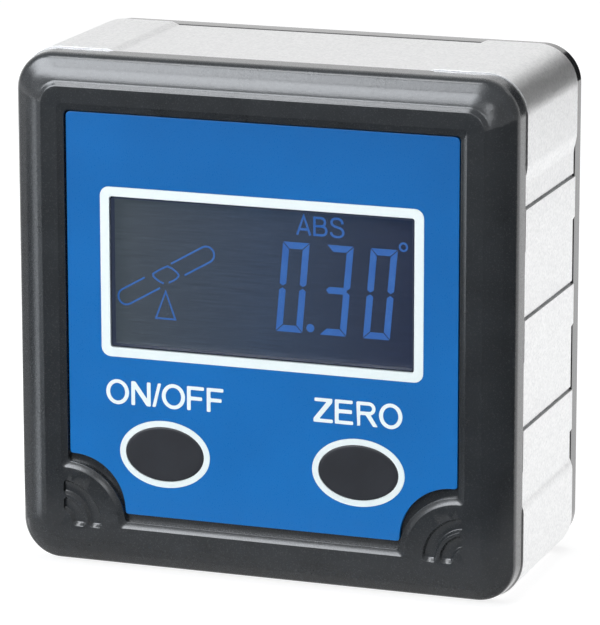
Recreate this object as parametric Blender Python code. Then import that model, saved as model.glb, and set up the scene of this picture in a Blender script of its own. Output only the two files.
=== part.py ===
"""Pocket digital level: square aluminium frame, moulded front bezel, rear cover with battery tray.

Metres, +Z up. The level stands on the frame's base at Z 0, its front faces -Y and X is centred.
Depths are counted backwards from the front land of the bezel, with at_depth() turning them into Y.
"""
from math import asin, atan2, cos, pi, radians, sin, sqrt

import bmesh
import bpy
from mathutils import Vector

for old in list(bpy.data.objects):
    bpy.data.objects.remove(old)

# Clearances
FIT = 0.0002          # between pieces that seat on each other
FILM_GAP = 0.0001     # under and round the thin faceplate and its inlays
SEAM = 0.0002         # between bezel, frame and cover

# Battery and its tray, which set the width and the depth of the body
CELL_LENGTH = 0.0445
CELL_RADIUS = 0.00525
CELL_NUB_LENGTH = 0.0008
CELL_NUB_RADIUS = 0.0019
CELL_CLEARANCE = 0.0003
CONTACT_ROOM = 0.00215
TRAY_WALL = 0.0009
TRAY_FLOOR = 0.0010
TRAY_SIDE_GAP = 0.0004

# Frame extrusion
FRAME_WALL = 0.0020
FRAME_CORNER = 0.0044
FRAME_PROUD = 0.0002
FRAME_CHAMFER = 0.00022
RECESS_DEPTH = 0.00035
RECESS_INSET = 0.0103
RECESS_RAMP = 0.0008
BAND_COUNT = 3
BAND_HEIGHT = 0.0043
BAND_RAISE = 0.00022
BAND_RAMP = 0.0004
GROOVE_WIDTH = 0.0003
GROOVE_DEPTH = 0.0003
SCREW_INSET = 0.0051
BOSS_RADIUS = 0.0036

# Front bezel
BEZEL_BORDER = 0.0060
BEZEL_CORNER = 0.0042
RIM_DEPTH = 0.0034
RIM_DRAFT = 0.0001
BEVEL_WIDTH = 0.0026
BEVEL_DROP = 0.00078
BEVEL_START = 0.0005
BEVEL_BULGE = 0.00005
EDGE_ROUND = 0.00045
LIP_CORNER = 0.0022
LIP_RUN = 0.0006
VALLEY_RUN = 0.0003
LABEL_SET = 0.0004
LABEL_THICK = 0.0004
LABEL_SIDE_GAP = 0.0002
LABEL_FOOT_GAP = 0.0008
LABEL_CORNER = 0.0005
SLOPE_RUN = 0.00075
SLOPE_DROP = 0.0003
DECK_THICK = 0.0012
NOTCH_RADIUS = 0.0076
NOTCH_OUT_X = 0.0008
NOTCH_OUT_Z = 0.0020
NOTCH_SOFTEN = 0.0004
PAD_GROOVES = 2
PAD_GROOVE_START = 0.0013
PAD_GROOVE_PITCH = 0.00205
PAD_GROOVE_WIDTH = 0.00095
PAD_GROOVE_DEPTH = 0.0004
PAD_GROOVE_SLOPE = 0.0003
PAD_GROOVE_FOOT = 0.0003
PAD_GROOVE_TOP = 0.0003
TAB_END_INSET = 0.0107
TAB_THICK = 0.0012
TAB_LENGTH = 0.0024

# Display
VIEW_SIDE_MARGIN = 0.00475
VIEW_TOP_MARGIN = 0.00871
VIEW_KEY_GAP = 0.00820
VIEW_CORNER = 0.0003
BORDER_BAND = 0.0011
PANEL_MARGIN = 0.0014
PANEL_THICK = 0.0012
BACKLIGHT_THICK = 0.0023
CONNECTOR_WIDTH = 0.0011
CONNECTOR_SIDE_INSET = 0.0030

# Keys and their switches
KEY_SIDE_INSET = 0.01076
KEY_FOOT_INSET = 0.00692
KEY_HALF_WIDTH = 0.0044
KEY_HALF_HEIGHT = 0.00297
KEY_CLEARANCE = 0.00015
KEY_RING_BAND = 0.00074
KEY_CROWN = 0.00015
KEY_FLANGE = 0.0007
KEY_FLANGE_THICK = 0.0007
KEY_POST_RADIUS = 0.0014
KEY_POST_LENGTH = 0.0005
KEY_TRAVEL = 0.0004
SWITCH_WIDTH = 0.0045
SWITCH_HEIGHT = 0.0017
PLUNGER_RADIUS = 0.0009
PLUNGER_SINK = 0.0005

# Board
BOARD_THICK = 0.0012
BOARD_SIDE_GAP = 0.0008
COMPONENT_ROOM = 0.0028
POST_RADIUS = 0.0015
POST_SIDE_INSET = 0.0032
POST_END_INSET = 0.0135
BOARD_SCREW_RADIUS = 0.0007
BOARD_SCREW_GRIP = 0.0028
BOARD_HEAD_RADIUS = 0.0013
BOARD_HEAD_THICK = 0.0009
CHIP_WIDTH = 0.0070
CHIP_HEIGHT = 0.0014
CHIP_LEFT = 0.0070
CHIP_UP = 0.0075
SENSOR_WIDTH = 0.0050
SENSOR_HEIGHT = 0.0017
SENSOR_RIGHT = 0.0090

# Rear cover and door
COVER_THICK = 0.0023
COVER_DRAFT = 0.00025
COVER_ROUND = 0.0008
DOOR_THICK = 0.0021
DOOR_RAIL = 0.0010
DOOR_TONGUE_FRONT = 0.0006
DOOR_TONGUE_THICK = 0.0006
DOOR_LAP = 0.0005
DISH_LENGTH = 0.0130
DISH_HEIGHT = 0.0070
DISH_DEPTH = 0.0006
GRIP_RIBS = 5
GRIP_RIB_WIDTH = 0.0008
GRIP_RIB_PITCH = 0.0020

# Long screws that hold cover, frame and bezel together
COVER_SCREW_RADIUS = 0.0010
COVER_HEAD_RADIUS = 0.0018
COVER_HEAD_THICK = 0.0010
COVER_HEAD_SINK = 0.0013
COVER_SCREW_GRIP = 0.0016

# Base magnets
MAGNET_RADIUS = 0.0040
MAGNET_THICK = 0.0008
MAGNET_INSET = 0.0074
MAGNET_SET = 0.0001

# Contacts
PLATE_THICK = 0.0003
PLATE_HALF = 0.0040
TAIL_WIDTH = 0.0020
WIRE_RADIUS = 0.00022
SPRING_TURNS = 4
SPRING_BASE_RADIUS = 0.0030
SPRING_TIP_RADIUS = 0.0016

# Worked out from the sizes above
BODY_HALF = CELL_LENGTH / 2 + CONTACT_ROOM + TRAY_WALL + TRAY_SIDE_GAP + FRAME_WALL
BEZEL_HALF = BODY_HALF - FRAME_PROUD
LABEL_HALF = BEZEL_HALF - BEZEL_BORDER
INNER_HALF = BODY_HALF - FRAME_WALL
CENTRE_Z = BODY_HALF
SCREW_AT = BODY_HALF - SCREW_INSET
RECESS_HALF = BODY_HALF - RECESS_INSET
BAND_PITCH = 2 * RECESS_HALF / BAND_COUNT
MAGNET_SPREAD = RECESS_HALF - MAGNET_INSET
TAB_HALF = INNER_HALF - TAB_END_INSET

LABEL_BACK = LABEL_SET + LABEL_THICK
DECK_FRONT = LABEL_BACK + FILM_GAP
DECK_BACK = DECK_FRONT + DECK_THICK
PANEL_FRONT = DECK_BACK + FIT
PANEL_BACK = PANEL_FRONT + PANEL_THICK
BACKLIGHT_FRONT = PANEL_BACK + FIT
BOARD_FRONT = BACKLIGHT_FRONT + BACKLIGHT_THICK + FIT
BOARD_BACK = BOARD_FRONT + BOARD_THICK
TRAY_FRONT = BOARD_BACK + COMPONENT_ROOM
TRAY_INSIDE = TRAY_FRONT + TRAY_FLOOR
CELL_DEPTH = TRAY_INSIDE + CELL_CLEARANCE + CELL_RADIUS
DOOR_FRONT = CELL_DEPTH + CELL_RADIUS + CELL_CLEARANCE
DEPTH = DOOR_FRONT + DOOR_THICK
COVER_FRONT = DEPTH - COVER_THICK
FRAME_FRONT = RIM_DEPTH + SEAM
FRAME_BACK = COVER_FRONT - SEAM
CELL_LEVEL = CELL_RADIUS + CELL_CLEARANCE / 2
TRAY_HALF_HEIGHT = 2 * CELL_RADIUS + 1.5 * CELL_CLEARANCE
TRAY_HALF_WIDTH = CELL_LENGTH / 2 + CONTACT_ROOM
KEY_SPREAD = LABEL_HALF - KEY_SIDE_INSET
KEY_Z = CENTRE_Z - LABEL_HALF + KEY_FOOT_INSET
VIEW_TOP = CENTRE_Z + LABEL_HALF - VIEW_TOP_MARGIN
VIEW_FOOT = KEY_Z + KEY_HALF_HEIGHT + VIEW_KEY_GAP
VIEW_WIDTH = 2 * (LABEL_HALF - VIEW_SIDE_MARGIN)
VIEW_HEIGHT = VIEW_TOP - VIEW_FOOT
VIEW_Z = (VIEW_TOP + VIEW_FOOT) / 2
PANEL_HALF_WIDTH = VIEW_WIDTH / 2 + PANEL_MARGIN
PANEL_HALF_HEIGHT = VIEW_HEIGHT / 2 + PANEL_MARGIN
PLATE_AT = TRAY_HALF_WIDTH - FIT


CORNERS = ((1, 1), (-1, 1), (-1, -1), (1, -1))
LOWER_CORNERS = ((-1, -1), (1, -1))


def at_depth(depth):
    """Y of a place that lies this far behind the bezel's front land."""
    return depth - DEPTH / 2


def arc(cx, cz, radius, start, end, steps):
    """Points of an arc in the XZ plane, angles in radians from +X towards +Z."""
    turns = [start + (end - start) * i / steps for i in range(steps + 1)]
    return [(cx + radius * cos(a), cz + radius * sin(a)) for a in turns]


def rounded_square(half_x, half_z, corner, steps=8, cz=CENTRE_Z, cx=0.0):
    """Outline of a rectangle with round corners, counter-clockwise from the right side."""
    points = []
    for quarter, (sx, sz) in enumerate(CORNERS):
        centre_x = cx + sx * (half_x - corner)
        centre_z = cz + sz * (half_z - corner)
        first = quarter * pi / 2
        points += arc(centre_x, centre_z, corner, first, first + pi / 2, steps)
    return points


def ellipse(cx, cz, half_x, half_z, steps=40):
    """Outline of an ellipse in the XZ plane."""
    turns = [2 * pi * i / steps for i in range(steps)]
    return [(cx + half_x * cos(a), cz + half_z * sin(a)) for a in turns]


def bend(start, corner, end, steps):
    """Points of a smooth curve that leaves start towards corner and arrives at end."""
    first, middle, last = Vector(start), Vector(corner), Vector(end)
    shares = [k / steps for k in range(steps + 1)]
    points = [first * (1 - t) ** 2 + middle * 2 * t * (1 - t) + last * t ** 2 for t in shares]
    return [(point.x, point.y) for point in points]


def soften(points, corners, reach, steps=3):
    """Round the named corners of an outline with a short curve that starts this far from them."""
    result = []
    count = len(points)
    for i, point in enumerate(points):
        if i not in corners:
            result.append(point)
            continue
        here = Vector(point)
        before = here + (Vector(points[i - 1]) - here).normalized() * reach
        after = here + (Vector(points[(i + 1) % count]) - here).normalized() * reach
        result += bend(before, here, after, steps)
    return result


def notched_square(half, centre_x, centre_z, radius, quadrants, corner, steps=8, reach=0.0, end=None):
    """Square whose named quadrants are cut by an arc about a point near the corner.

    centre_x and centre_z are counted outwards from the body's centre. Other corners are round.
    end is the half height at the cut quadrants, where it isn't the same as half.
    """
    points = []
    sharp = []
    end = end or half
    for quarter, (sx, sz) in enumerate(CORNERS):
        if (sx, sz) not in quadrants:
            first = quarter * pi / 2
            inset = half - corner
            points += arc(sx * inset, CENTRE_Z + sz * inset, corner, first, first + pi / 2, steps)
            continue
        side_z = centre_z - sqrt(radius ** 2 - (centre_x - half) ** 2)
        side_x = centre_x - sqrt(radius ** 2 - (centre_z - end) ** 2)
        on_side = atan2(side_z - centre_z, half - centre_x) % (2 * pi)
        on_end = atan2(end - centre_z, side_x - centre_x) % (2 * pi)
        notch = arc(centre_x, centre_z, radius, on_side, on_end, 2 * steps)
        notch = [(sx * x, CENTRE_Z + sz * z) for x, z in notch]
        if quarter in (1, 3):
            notch.reverse()
        sharp += [len(points), len(points) + len(notch) - 1]
        points += notch
    return soften(points, sharp, reach) if reach else points


def mesh_from(bm, name):
    """Mesh with outward faces from a bmesh, flat faces kept flat and round ones smooth."""
    bmesh.ops.recalc_face_normals(bm, faces=bm.faces)
    mesh = bpy.data.meshes.new(name)
    bm.to_mesh(mesh)
    bm.free()
    mesh.shade_smooth()
    mesh.set_sharp_from_angle(angle=radians(35))
    return mesh


def skin(bm, rings):
    """Closed body through rings of 3-D points, each ring with the same count."""
    loops = [[bm.verts.new(point) for point in ring] for ring in rings]
    count = len(loops[0])
    for near, far in zip(loops, loops[1:]):
        for i in range(count):
            j = (i + 1) % count
            bm.faces.new((near[i], near[j], far[j], far[i]))
    bm.faces.new(loops[0])
    bm.faces.new(loops[-1])


def loft(bm, rings):
    """Closed body through XZ outlines, each given with its Y."""
    skin(bm, [[(x, y, z) for x, z in outline] for outline, y in rings])


def turned(bm, profile, steps, centre, along):
    """Closed body turned about an axis: profile holds (distance along, radius), closed at its ends."""
    axis = Vector(along).normalized()
    side = axis.orthogonal().normalized()
    other = axis.cross(side)
    base = Vector(centre)
    turns = [2 * pi * i / steps for i in range(steps)]
    spokes = [side * cos(a) + other * sin(a) for a in turns]
    skin(bm, [[base + axis * reach + spoke * radius for spoke in spokes] for reach, radius in profile])


def block(bm, x0, x1, y0, y1, z0, z1):
    """Plain box between two corners."""
    outline = [(x0, z0), (x1, z0), (x1, z1), (x0, z1)]
    loft(bm, [(outline, y0), (outline, y1)])


def finish(name, bm, material, origin=(0.0, 0.0, 0.0)):
    """Object from a bmesh drawn in world places, with its own origin and material."""
    bmesh.ops.translate(bm, verts=bm.verts, vec=-Vector(origin))
    thing = bpy.data.objects.new(name, mesh_from(bm, name))
    thing.location = origin
    thing.data.materials.append(material)
    bpy.context.scene.collection.objects.link(thing)
    return thing


def combine(thing, operation, bm, suffix):
    """Boolean of a piece with a helper body that is kept as a wire guide."""
    guide = bpy.data.objects.new(f"guide_{thing.name}_{suffix}", mesh_from(bm, suffix))
    guide.display_type = "WIRE"
    guide.hide_render = True
    bpy.context.scene.collection.objects.link(guide)
    modifier = thing.modifiers.new(suffix, "BOOLEAN")
    modifier.operation = operation
    modifier.solver = "EXACT"
    modifier.object = guide


def paint(name, colour, roughness, metallic=0.0, transmission=0.0):
    """Principled material with one colour."""
    material = bpy.data.materials.new(name)
    material.use_nodes = True
    shader = material.node_tree.nodes["Principled BSDF"]
    shader.inputs["Base Color"].default_value = (*colour, 1.0)
    shader.inputs["Roughness"].default_value = roughness
    shader.inputs["Metallic"].default_value = metallic
    shader.inputs["Transmission Weight"].default_value = transmission
    return material


BLACK = paint("black_moulding", (0.030, 0.031, 0.034), 0.42)
SATIN = paint("satin_aluminium", (0.78, 0.79, 0.80), 0.38, 1.0)
BLUE = paint("blue_film", (0.016, 0.160, 0.500), 0.40)
WHITE = paint("white_ink", (0.88, 0.90, 0.92), 0.45)
CLEAR = paint("clear_window", (0.90, 0.92, 0.94), 0.08, 0.0, 0.9)
PANEL = paint("display_glass", (0.055, 0.058, 0.075), 0.25)
DIFFUSER = paint("diffuser", (0.80, 0.80, 0.76), 0.5)
RUBBER = paint("key_rubber", (0.028, 0.029, 0.033), 0.6)
BOARD = paint("board_laminate", (0.020, 0.160, 0.070), 0.45)
CHIP = paint("chip_epoxy", (0.020, 0.020, 0.022), 0.5)
STEEL = paint("plated_steel", (0.62, 0.62, 0.64), 0.3, 1.0)
CELL = paint("cell_sleeve", (0.10, 0.11, 0.13), 0.35)
MAGNET = paint("magnet_nickel", (0.55, 0.55, 0.57), 0.28, 1.0)


def frame_side():
    """One side of the frame's section: (place along the side, inset), from +half to -half."""
    points = [(RECESS_HALF + RECESS_RAMP / 2, 0.0), (RECESS_HALF - RECESS_RAMP / 2, RECESS_DEPTH)]
    raised = RECESS_DEPTH - BAND_RAISE
    for n in range(BAND_COUNT):
        top = ((BAND_COUNT - 1) / 2 - n) * BAND_PITCH + BAND_HEIGHT / 2
        points += [
            (top + GROOVE_WIDTH, RECESS_DEPTH),
            (top + GROOVE_WIDTH, RECESS_DEPTH + GROOVE_DEPTH),
            (top, RECESS_DEPTH + GROOVE_DEPTH),
            (top, raised),
            (top - BAND_HEIGHT, raised),
            (top - BAND_HEIGHT - BAND_RAMP, RECESS_DEPTH),
        ]
    points += [(-RECESS_HALF + RECESS_RAMP / 2, RECESS_DEPTH), (-RECESS_HALF - RECESS_RAMP / 2, 0.0)]
    return points


def frame_outline():
    """Section of the extrusion: plain recess on top and base, grooved bands on both sides."""
    plain = [(RECESS_HALF + RECESS_RAMP / 2, 0.0), (RECESS_HALF - RECESS_RAMP / 2, RECESS_DEPTH)]
    plain += [(-t, inset) for t, inset in reversed(plain)]
    bands = frame_side()
    reach = BODY_HALF - FRAME_CORNER
    corner = []
    for quarter, (sx, sz) in enumerate(CORNERS):
        first = quarter * pi / 2
        corner.append(arc(sx * reach, sz * reach, FRAME_CORNER, first, first + pi / 2, 8))
    points = list(reversed([(BODY_HALF - inset, t) for t, inset in bands]))
    points += corner[0] + [(t, BODY_HALF - inset) for t, inset in plain]
    points += corner[1] + [(inset - BODY_HALF, t) for t, inset in bands]
    points += corner[2] + [(-t, inset - BODY_HALF) for t, inset in plain]
    points += corner[3]
    return points


def extruded_frame():
    """Aluminium frame with four screw channels and two magnet pockets in its base."""
    section = frame_outline()
    shrink = 1 - FRAME_CHAMFER / BODY_HALF
    full = [(x, CENTRE_Z + z) for x, z in section]
    small = [(x * shrink, CENTRE_Z + z * shrink) for x, z in section]
    front, back = at_depth(FRAME_FRONT), at_depth(FRAME_BACK)
    bm = bmesh.new()
    loft(bm, [(small, front), (full, front + FRAME_CHAMFER), (full, back - FRAME_CHAMFER), (small, back)])
    frame = finish("extruded_frame", bm, SATIN)

    bm = bmesh.new()
    hollow = notched_square(INNER_HALF, SCREW_AT, SCREW_AT, BOSS_RADIUS, CORNERS, 0.0, 5)
    loft(bm, [(hollow, front - FRAME_WALL), (hollow, back + FRAME_WALL)])
    combine(frame, "DIFFERENCE", bm, "hollow")

    bm = bmesh.new()
    for sx, sz in CORNERS:
        centre = (sx * SCREW_AT, 0.0, CENTRE_Z + sz * SCREW_AT)
        bore = COVER_SCREW_RADIUS + FIT
        turned(bm, [(-DEPTH, bore), (DEPTH, bore)], 16, centre, (0, 1, 0))
    for side in (-1, 1):
        pocket = RECESS_DEPTH + MAGNET_SET + MAGNET_THICK + FIT
        centre = (side * MAGNET_SPREAD, (front + back) / 2, 0.0)
        wide = MAGNET_RADIUS + FIT
        turned(bm, [(-FRAME_WALL, wide), (pocket, wide)], 32, centre, (0, 0, 1))
    combine(frame, "DIFFERENCE", bm, "holes")


def base_magnets():
    """Two disc magnets pressed into the base, just inside the recess."""
    middle = (at_depth(FRAME_FRONT) + at_depth(FRAME_BACK)) / 2
    for number, side in enumerate((-1, 1), 1):
        centre = (side * MAGNET_SPREAD, middle, RECESS_DEPTH + MAGNET_SET)
        bm = bmesh.new()
        turned(bm, [(0.0, MAGNET_RADIUS), (MAGNET_THICK, MAGNET_RADIUS)], 32, centre, (0, 0, 1))
        finish(f"base_magnet_{number}", bm, MAGNET, centre)


def label_outline(sides, foot):
    """Faceplate outline, a square with arcs cut from both bottom corners.

    It is moved outwards by sides at both sides and the top, and by foot at its foot and arcs.
    """
    half = LABEL_HALF + sides
    centre_x = LABEL_HALF + NOTCH_OUT_X
    centre_z = LABEL_HALF + NOTCH_OUT_Z
    radius = NOTCH_RADIUS - foot
    corner = LABEL_CORNER + sides * 0.4
    end = LABEL_HALF + foot
    return notched_square(half, centre_x, centre_z, radius, LOWER_CORNERS, corner, 8, NOTCH_SOFTEN, end)


def bezel_rings():
    """Outside of the bezel from its rear edge to the front land: outline and Y of each ring."""
    wall = BEZEL_HALF - RIM_DRAFT
    bevel_in = BEZEL_HALF - BEVEL_WIDTH
    valley = bevel_in - VALLEY_RUN
    land = valley - LIP_RUN
    corner_out = wall - EDGE_ROUND
    bevel_end = BEVEL_START + BEVEL_DROP
    crest = ((bevel_in + corner_out) / 2, (BEVEL_START + bevel_end) / 2 - 2 * BEVEL_BULGE)
    wall_end = (wall, bevel_end + EDGE_ROUND)
    wall_turn = (wall, bevel_end + EDGE_ROUND / 3)
    profile = [(BEZEL_HALF, RIM_DEPTH)]
    profile += bend(wall_end, wall_turn, (corner_out, bevel_end), 4)
    profile += bend((corner_out, bevel_end), crest, (bevel_in, BEVEL_START), 3)[1:]
    profile += bend((valley, BEVEL_START), (land + LIP_RUN / 3, 0.0), (land, 0.0), 3)
    rings = []
    for half, depth in profile:
        share = (BEZEL_HALF - half) / (BEZEL_HALF - valley)
        corner = BEZEL_CORNER + (LIP_CORNER - BEZEL_CORNER) * share
        rings.append((rounded_square(half, half, corner, 8), at_depth(depth)))
    return rings


def pad_groove(bm, side, start):
    """Cutter for one quarter-round groove in a corner pad, with sloped walls and ends."""
    cx = LABEL_HALF + NOTCH_OUT_X
    cz = LABEL_HALF + NOTCH_OUT_Z
    rings = []
    for depth, inset in ((-PAD_GROOVE_DEPTH, -PAD_GROOVE_SLOPE), (PAD_GROOVE_DEPTH, PAD_GROOVE_SLOPE)):
        near, far = start + inset, start + PAD_GROOVE_WIDTH - inset
        foot, top = PAD_GROOVE_FOOT + inset, PAD_GROOVE_TOP - inset
        inner = arc(cx, cz, near, pi + asin(foot / near), 1.5 * pi + asin(top / near), 8)
        outer = arc(cx, cz, far, 1.5 * pi + asin(top / far), pi + asin(foot / far), 8)
        outline = [(side * x, CENTRE_Z - z) for x, z in inner + outer]
        rings.append((outline, at_depth(depth)))
    loft(bm, rings)


def front_bezel():
    """Moulded front: sloped rim, lip, sunk deck for the faceplate and two grooved corner pads."""
    bm = bmesh.new()
    loft(bm, bezel_rings())
    bezel = finish("front_bezel", bm, BLACK)
    above = -LABEL_SET

    bm = bmesh.new()
    rings = []
    wall = [(1.5 * SLOPE_RUN, -SLOPE_DROP / 2), (SLOPE_RUN, 0.0), (0.0, SLOPE_DROP), (0.0, DECK_FRONT)]
    for run, depth in wall:
        rings.append((label_outline(LABEL_SIDE_GAP + run, LABEL_FOOT_GAP + run), at_depth(depth)))
    loft(bm, rings)
    combine(bezel, "DIFFERENCE", bm, "recess")

    bm = bmesh.new()
    opening = rounded_square(VIEW_WIDTH / 2, VIEW_HEIGHT / 2, VIEW_CORNER, 3, VIEW_Z)
    loft(bm, [(opening, at_depth(above)), (opening, at_depth(RIM_DEPTH))])
    for side in (-1, 1):
        hole = ellipse(side * KEY_SPREAD, KEY_Z, KEY_HALF_WIDTH, KEY_HALF_HEIGHT)
        loft(bm, [(hole, at_depth(above)), (hole, at_depth(RIM_DEPTH))])
        for n in range(PAD_GROOVES):
            pad_groove(bm, side, PAD_GROOVE_START + n * PAD_GROOVE_PITCH)
    combine(bezel, "DIFFERENCE", bm, "openings")

    bm = bmesh.new()
    tab_out = INNER_HALF - FIT
    tab_in = tab_out - TAB_THICK
    hollow = notched_square(tab_in, SCREW_AT, SCREW_AT, BOSS_RADIUS + FIT, CORNERS, 0.0, 5)
    loft(bm, [(hollow, at_depth(DECK_BACK)), (hollow, at_depth(RIM_DEPTH + FRAME_WALL))])
    combine(bezel, "DIFFERENCE", bm, "back_hollow")

    bm = bmesh.new()
    y0, y1 = at_depth(RIM_DEPTH - TAB_THICK), at_depth(RIM_DEPTH + TAB_LENGTH)
    for side in (-1, 1):
        near, far = sorted((side * tab_in, side * tab_out))
        block(bm, near, far, y0, y1, CENTRE_Z - TAB_HALF, CENTRE_Z + TAB_HALF)
        block(bm, -TAB_HALF, TAB_HALF, y0, y1, CENTRE_Z + near, CENTRE_Z + far)
    combine(bezel, "UNION", bm, "tabs")

    bm = bmesh.new()
    for x, z in board_posts():
        post = [(DECK_BACK - FIT, POST_RADIUS), (BOARD_FRONT - FIT, POST_RADIUS)]
        turned(bm, post, 16, (x, at_depth(0.0), z), (0, 1, 0))
    combine(bezel, "UNION", bm, "posts")

    bm = bmesh.new()
    for x, z in board_posts():
        bore = BOARD_SCREW_RADIUS + FILM_GAP
        start = BOARD_FRONT - BOARD_SCREW_GRIP - FIT
        turned(bm, [(start, bore), (BOARD_BACK, bore)], 12, (x, at_depth(0.0), z), (0, 1, 0))
    for sx, sz in CORNERS:
        centre = (sx * SCREW_AT, at_depth(0.0), CENTRE_Z + sz * SCREW_AT)
        start = RIM_DEPTH - COVER_SCREW_GRIP - FIT
        bore = COVER_SCREW_RADIUS + FILM_GAP
        turned(bm, [(start, bore), (FRAME_FRONT + FRAME_WALL, bore)], 16, centre, (0, 1, 0))
    combine(bezel, "DIFFERENCE", bm, "screw_holes")


def board_posts():
    """Places of the four posts that carry the board."""
    x = INNER_HALF - FIT - TAB_THICK - POST_SIDE_INSET
    z = INNER_HALF - POST_END_INSET
    return [(sx * x, CENTRE_Z + sz * z) for sx, sz in CORNERS]


def ring(name, outer, inner):
    """Flat inlay between two outlines, level with the faceplate."""
    bm = bmesh.new()
    y0, y1 = at_depth(LABEL_SET), at_depth(LABEL_BACK)
    loft(bm, [(outer, y0), (outer, y1)])
    inlay = finish(name, bm, WHITE)
    bm = bmesh.new()
    loft(bm, [(inner, y0 - LABEL_THICK), (inner, y1 + LABEL_THICK)])
    combine(inlay, "DIFFERENCE", bm, "inside")


def face_label():
    """Blue faceplate with its window and key openings, and the white inlays that line them."""
    bm = bmesh.new()
    y0, y1 = at_depth(LABEL_SET), at_depth(LABEL_BACK)
    outline = label_outline(0.0, 0.0)
    loft(bm, [(outline, y0), (outline, y1)])
    label = finish("face_label", bm, BLUE)

    def border(grow):
        half_x = VIEW_WIDTH / 2 + grow
        half_z = VIEW_HEIGHT / 2 + grow
        return rounded_square(half_x, half_z, VIEW_CORNER + grow * 0.7, 4, VIEW_Z)

    def key_edge(side, grow):
        return ellipse(side * KEY_SPREAD, KEY_Z, KEY_HALF_WIDTH + grow, KEY_HALF_HEIGHT + grow)

    bm = bmesh.new()
    cuts = [border(BORDER_BAND)] + [key_edge(side, KEY_RING_BAND) for side in (-1, 1)]
    for cut in cuts:
        loft(bm, [(cut, y0 - LABEL_THICK), (cut, y1 + LABEL_THICK)])
    combine(label, "DIFFERENCE", bm, "openings")

    ring("window_border", border(BORDER_BAND - FILM_GAP), border(0.0))
    for name, side in (("on_off_ring", -1), ("zero_ring", 1)):
        ring(name, key_edge(side, KEY_RING_BAND - FILM_GAP), key_edge(side, 0.0))


def display():
    """Window, liquid crystal panel, backlight and the two elastomer connectors."""
    bm = bmesh.new()
    half_x, half_z = VIEW_WIDTH / 2 - FIT, VIEW_HEIGHT / 2 - FIT
    pane = rounded_square(half_x, half_z, VIEW_CORNER, 3, VIEW_Z)
    loft(bm, [(pane, at_depth(LABEL_SET)), (pane, at_depth(PANEL_FRONT - FIT))])
    finish("display_window", bm, CLEAR)

    bm = bmesh.new()
    y0, y1 = at_depth(PANEL_FRONT), at_depth(PANEL_BACK)
    z0, z1 = VIEW_Z - PANEL_HALF_HEIGHT, VIEW_Z + PANEL_HALF_HEIGHT
    block(bm, -PANEL_HALF_WIDTH, PANEL_HALF_WIDTH, y0, y1, z0, z1)
    finish("display_panel", bm, PANEL)

    light_half = PANEL_HALF_HEIGHT - CONNECTOR_WIDTH - FIT
    y0, y1 = at_depth(BACKLIGHT_FRONT), at_depth(BOARD_FRONT - FIT)
    bm = bmesh.new()
    block(bm, -VIEW_WIDTH / 2, VIEW_WIDTH / 2, y0, y1, VIEW_Z - light_half, VIEW_Z + light_half)
    finish("display_backlight", bm, DIFFUSER)

    reach = VIEW_WIDTH / 2 - CONNECTOR_SIDE_INSET
    for name, side in (("display_connector_upper", 1), ("display_connector_lower", -1)):
        edge = sorted((VIEW_Z + side * (light_half + FIT), VIEW_Z + side * PANEL_HALF_HEIGHT))
        bm = bmesh.new()
        block(bm, -reach, reach, y0, y1, edge[0], edge[1])
        finish(name, bm, RUBBER)


def key(name, side):
    """Oval key with a crowned face, a flange that keeps it in and a post for its switch."""
    cx = side * KEY_SPREAD
    half_x = KEY_HALF_WIDTH - KEY_CLEARANCE
    half_z = KEY_HALF_HEIGHT - KEY_CLEARANCE
    flange_front = DECK_BACK + FIT
    flange_back = flange_front + KEY_FLANGE_THICK
    profile = [
        (0.15, -half_x * 0.75, LABEL_SET - KEY_CROWN),
        (0.50, -half_x * 0.40, LABEL_SET - KEY_CROWN * 0.85),
        (0.80, -half_x * 0.15, LABEL_SET - KEY_CROWN * 0.45),
        (1.00, -KEY_CLEARANCE * 0.6, LABEL_SET),
        (1.00, 0.0, LABEL_SET + KEY_CLEARANCE),
        (1.00, 0.0, flange_front),
        (1.00, KEY_FLANGE, flange_front),
        (1.00, KEY_FLANGE, flange_back),
    ]
    rings = []
    for share, grow, depth in profile:
        if share < 1.0:
            outline = ellipse(cx, KEY_Z, half_x * share, half_z * share)
        else:
            outline = ellipse(cx, KEY_Z, half_x + grow, half_z + grow)
        rings.append((outline, at_depth(depth)))
    post = ellipse(cx, KEY_Z, KEY_POST_RADIUS, KEY_POST_RADIUS)
    rings += [(post, at_depth(flange_back)), (post, at_depth(flange_back + KEY_POST_LENGTH))]
    bm = bmesh.new()
    loft(bm, rings)
    finish(name, bm, RUBBER, (cx, at_depth(LABEL_SET), KEY_Z))
    return flange_back + KEY_POST_LENGTH


def key_switch(prefix, side, post_back):
    """Switch on the board under a key: its body with a bore, and the plunger that the key presses."""
    cx = side * KEY_SPREAD
    body_back = BOARD_FRONT - FIT
    body_front = body_back - SWITCH_HEIGHT
    half = SWITCH_WIDTH / 2
    bm = bmesh.new()
    y0, y1 = at_depth(body_front), at_depth(body_back)
    block(bm, cx - half, cx + half, y0, y1, KEY_Z - half, KEY_Z + half)
    body = finish(f"{prefix}_switch", bm, CHIP)
    bm = bmesh.new()
    bore = PLUNGER_RADIUS + FILM_GAP
    floor = body_front + PLUNGER_SINK + KEY_TRAVEL + FIT
    turned(bm, [(body_front - FIT, bore), (floor, bore)], 16, (cx, at_depth(0.0), KEY_Z), (0, 1, 0))
    combine(body, "DIFFERENCE", bm, "bore")
    bm = bmesh.new()
    start = post_back + FILM_GAP
    plunger = [(start, PLUNGER_RADIUS), (body_front + PLUNGER_SINK, PLUNGER_RADIUS)]
    turned(bm, plunger, 16, (cx, at_depth(0.0), KEY_Z), (0, 1, 0))
    finish(f"{prefix}_plunger", bm, DIFFUSER, (cx, at_depth(start), KEY_Z))


def keypad():
    """Both keys with their switches."""
    for prefix, side in (("on_off", -1), ("zero", 1)):
        post_back = key(f"{prefix}_key", side)
        key_switch(prefix, side, post_back)


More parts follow.
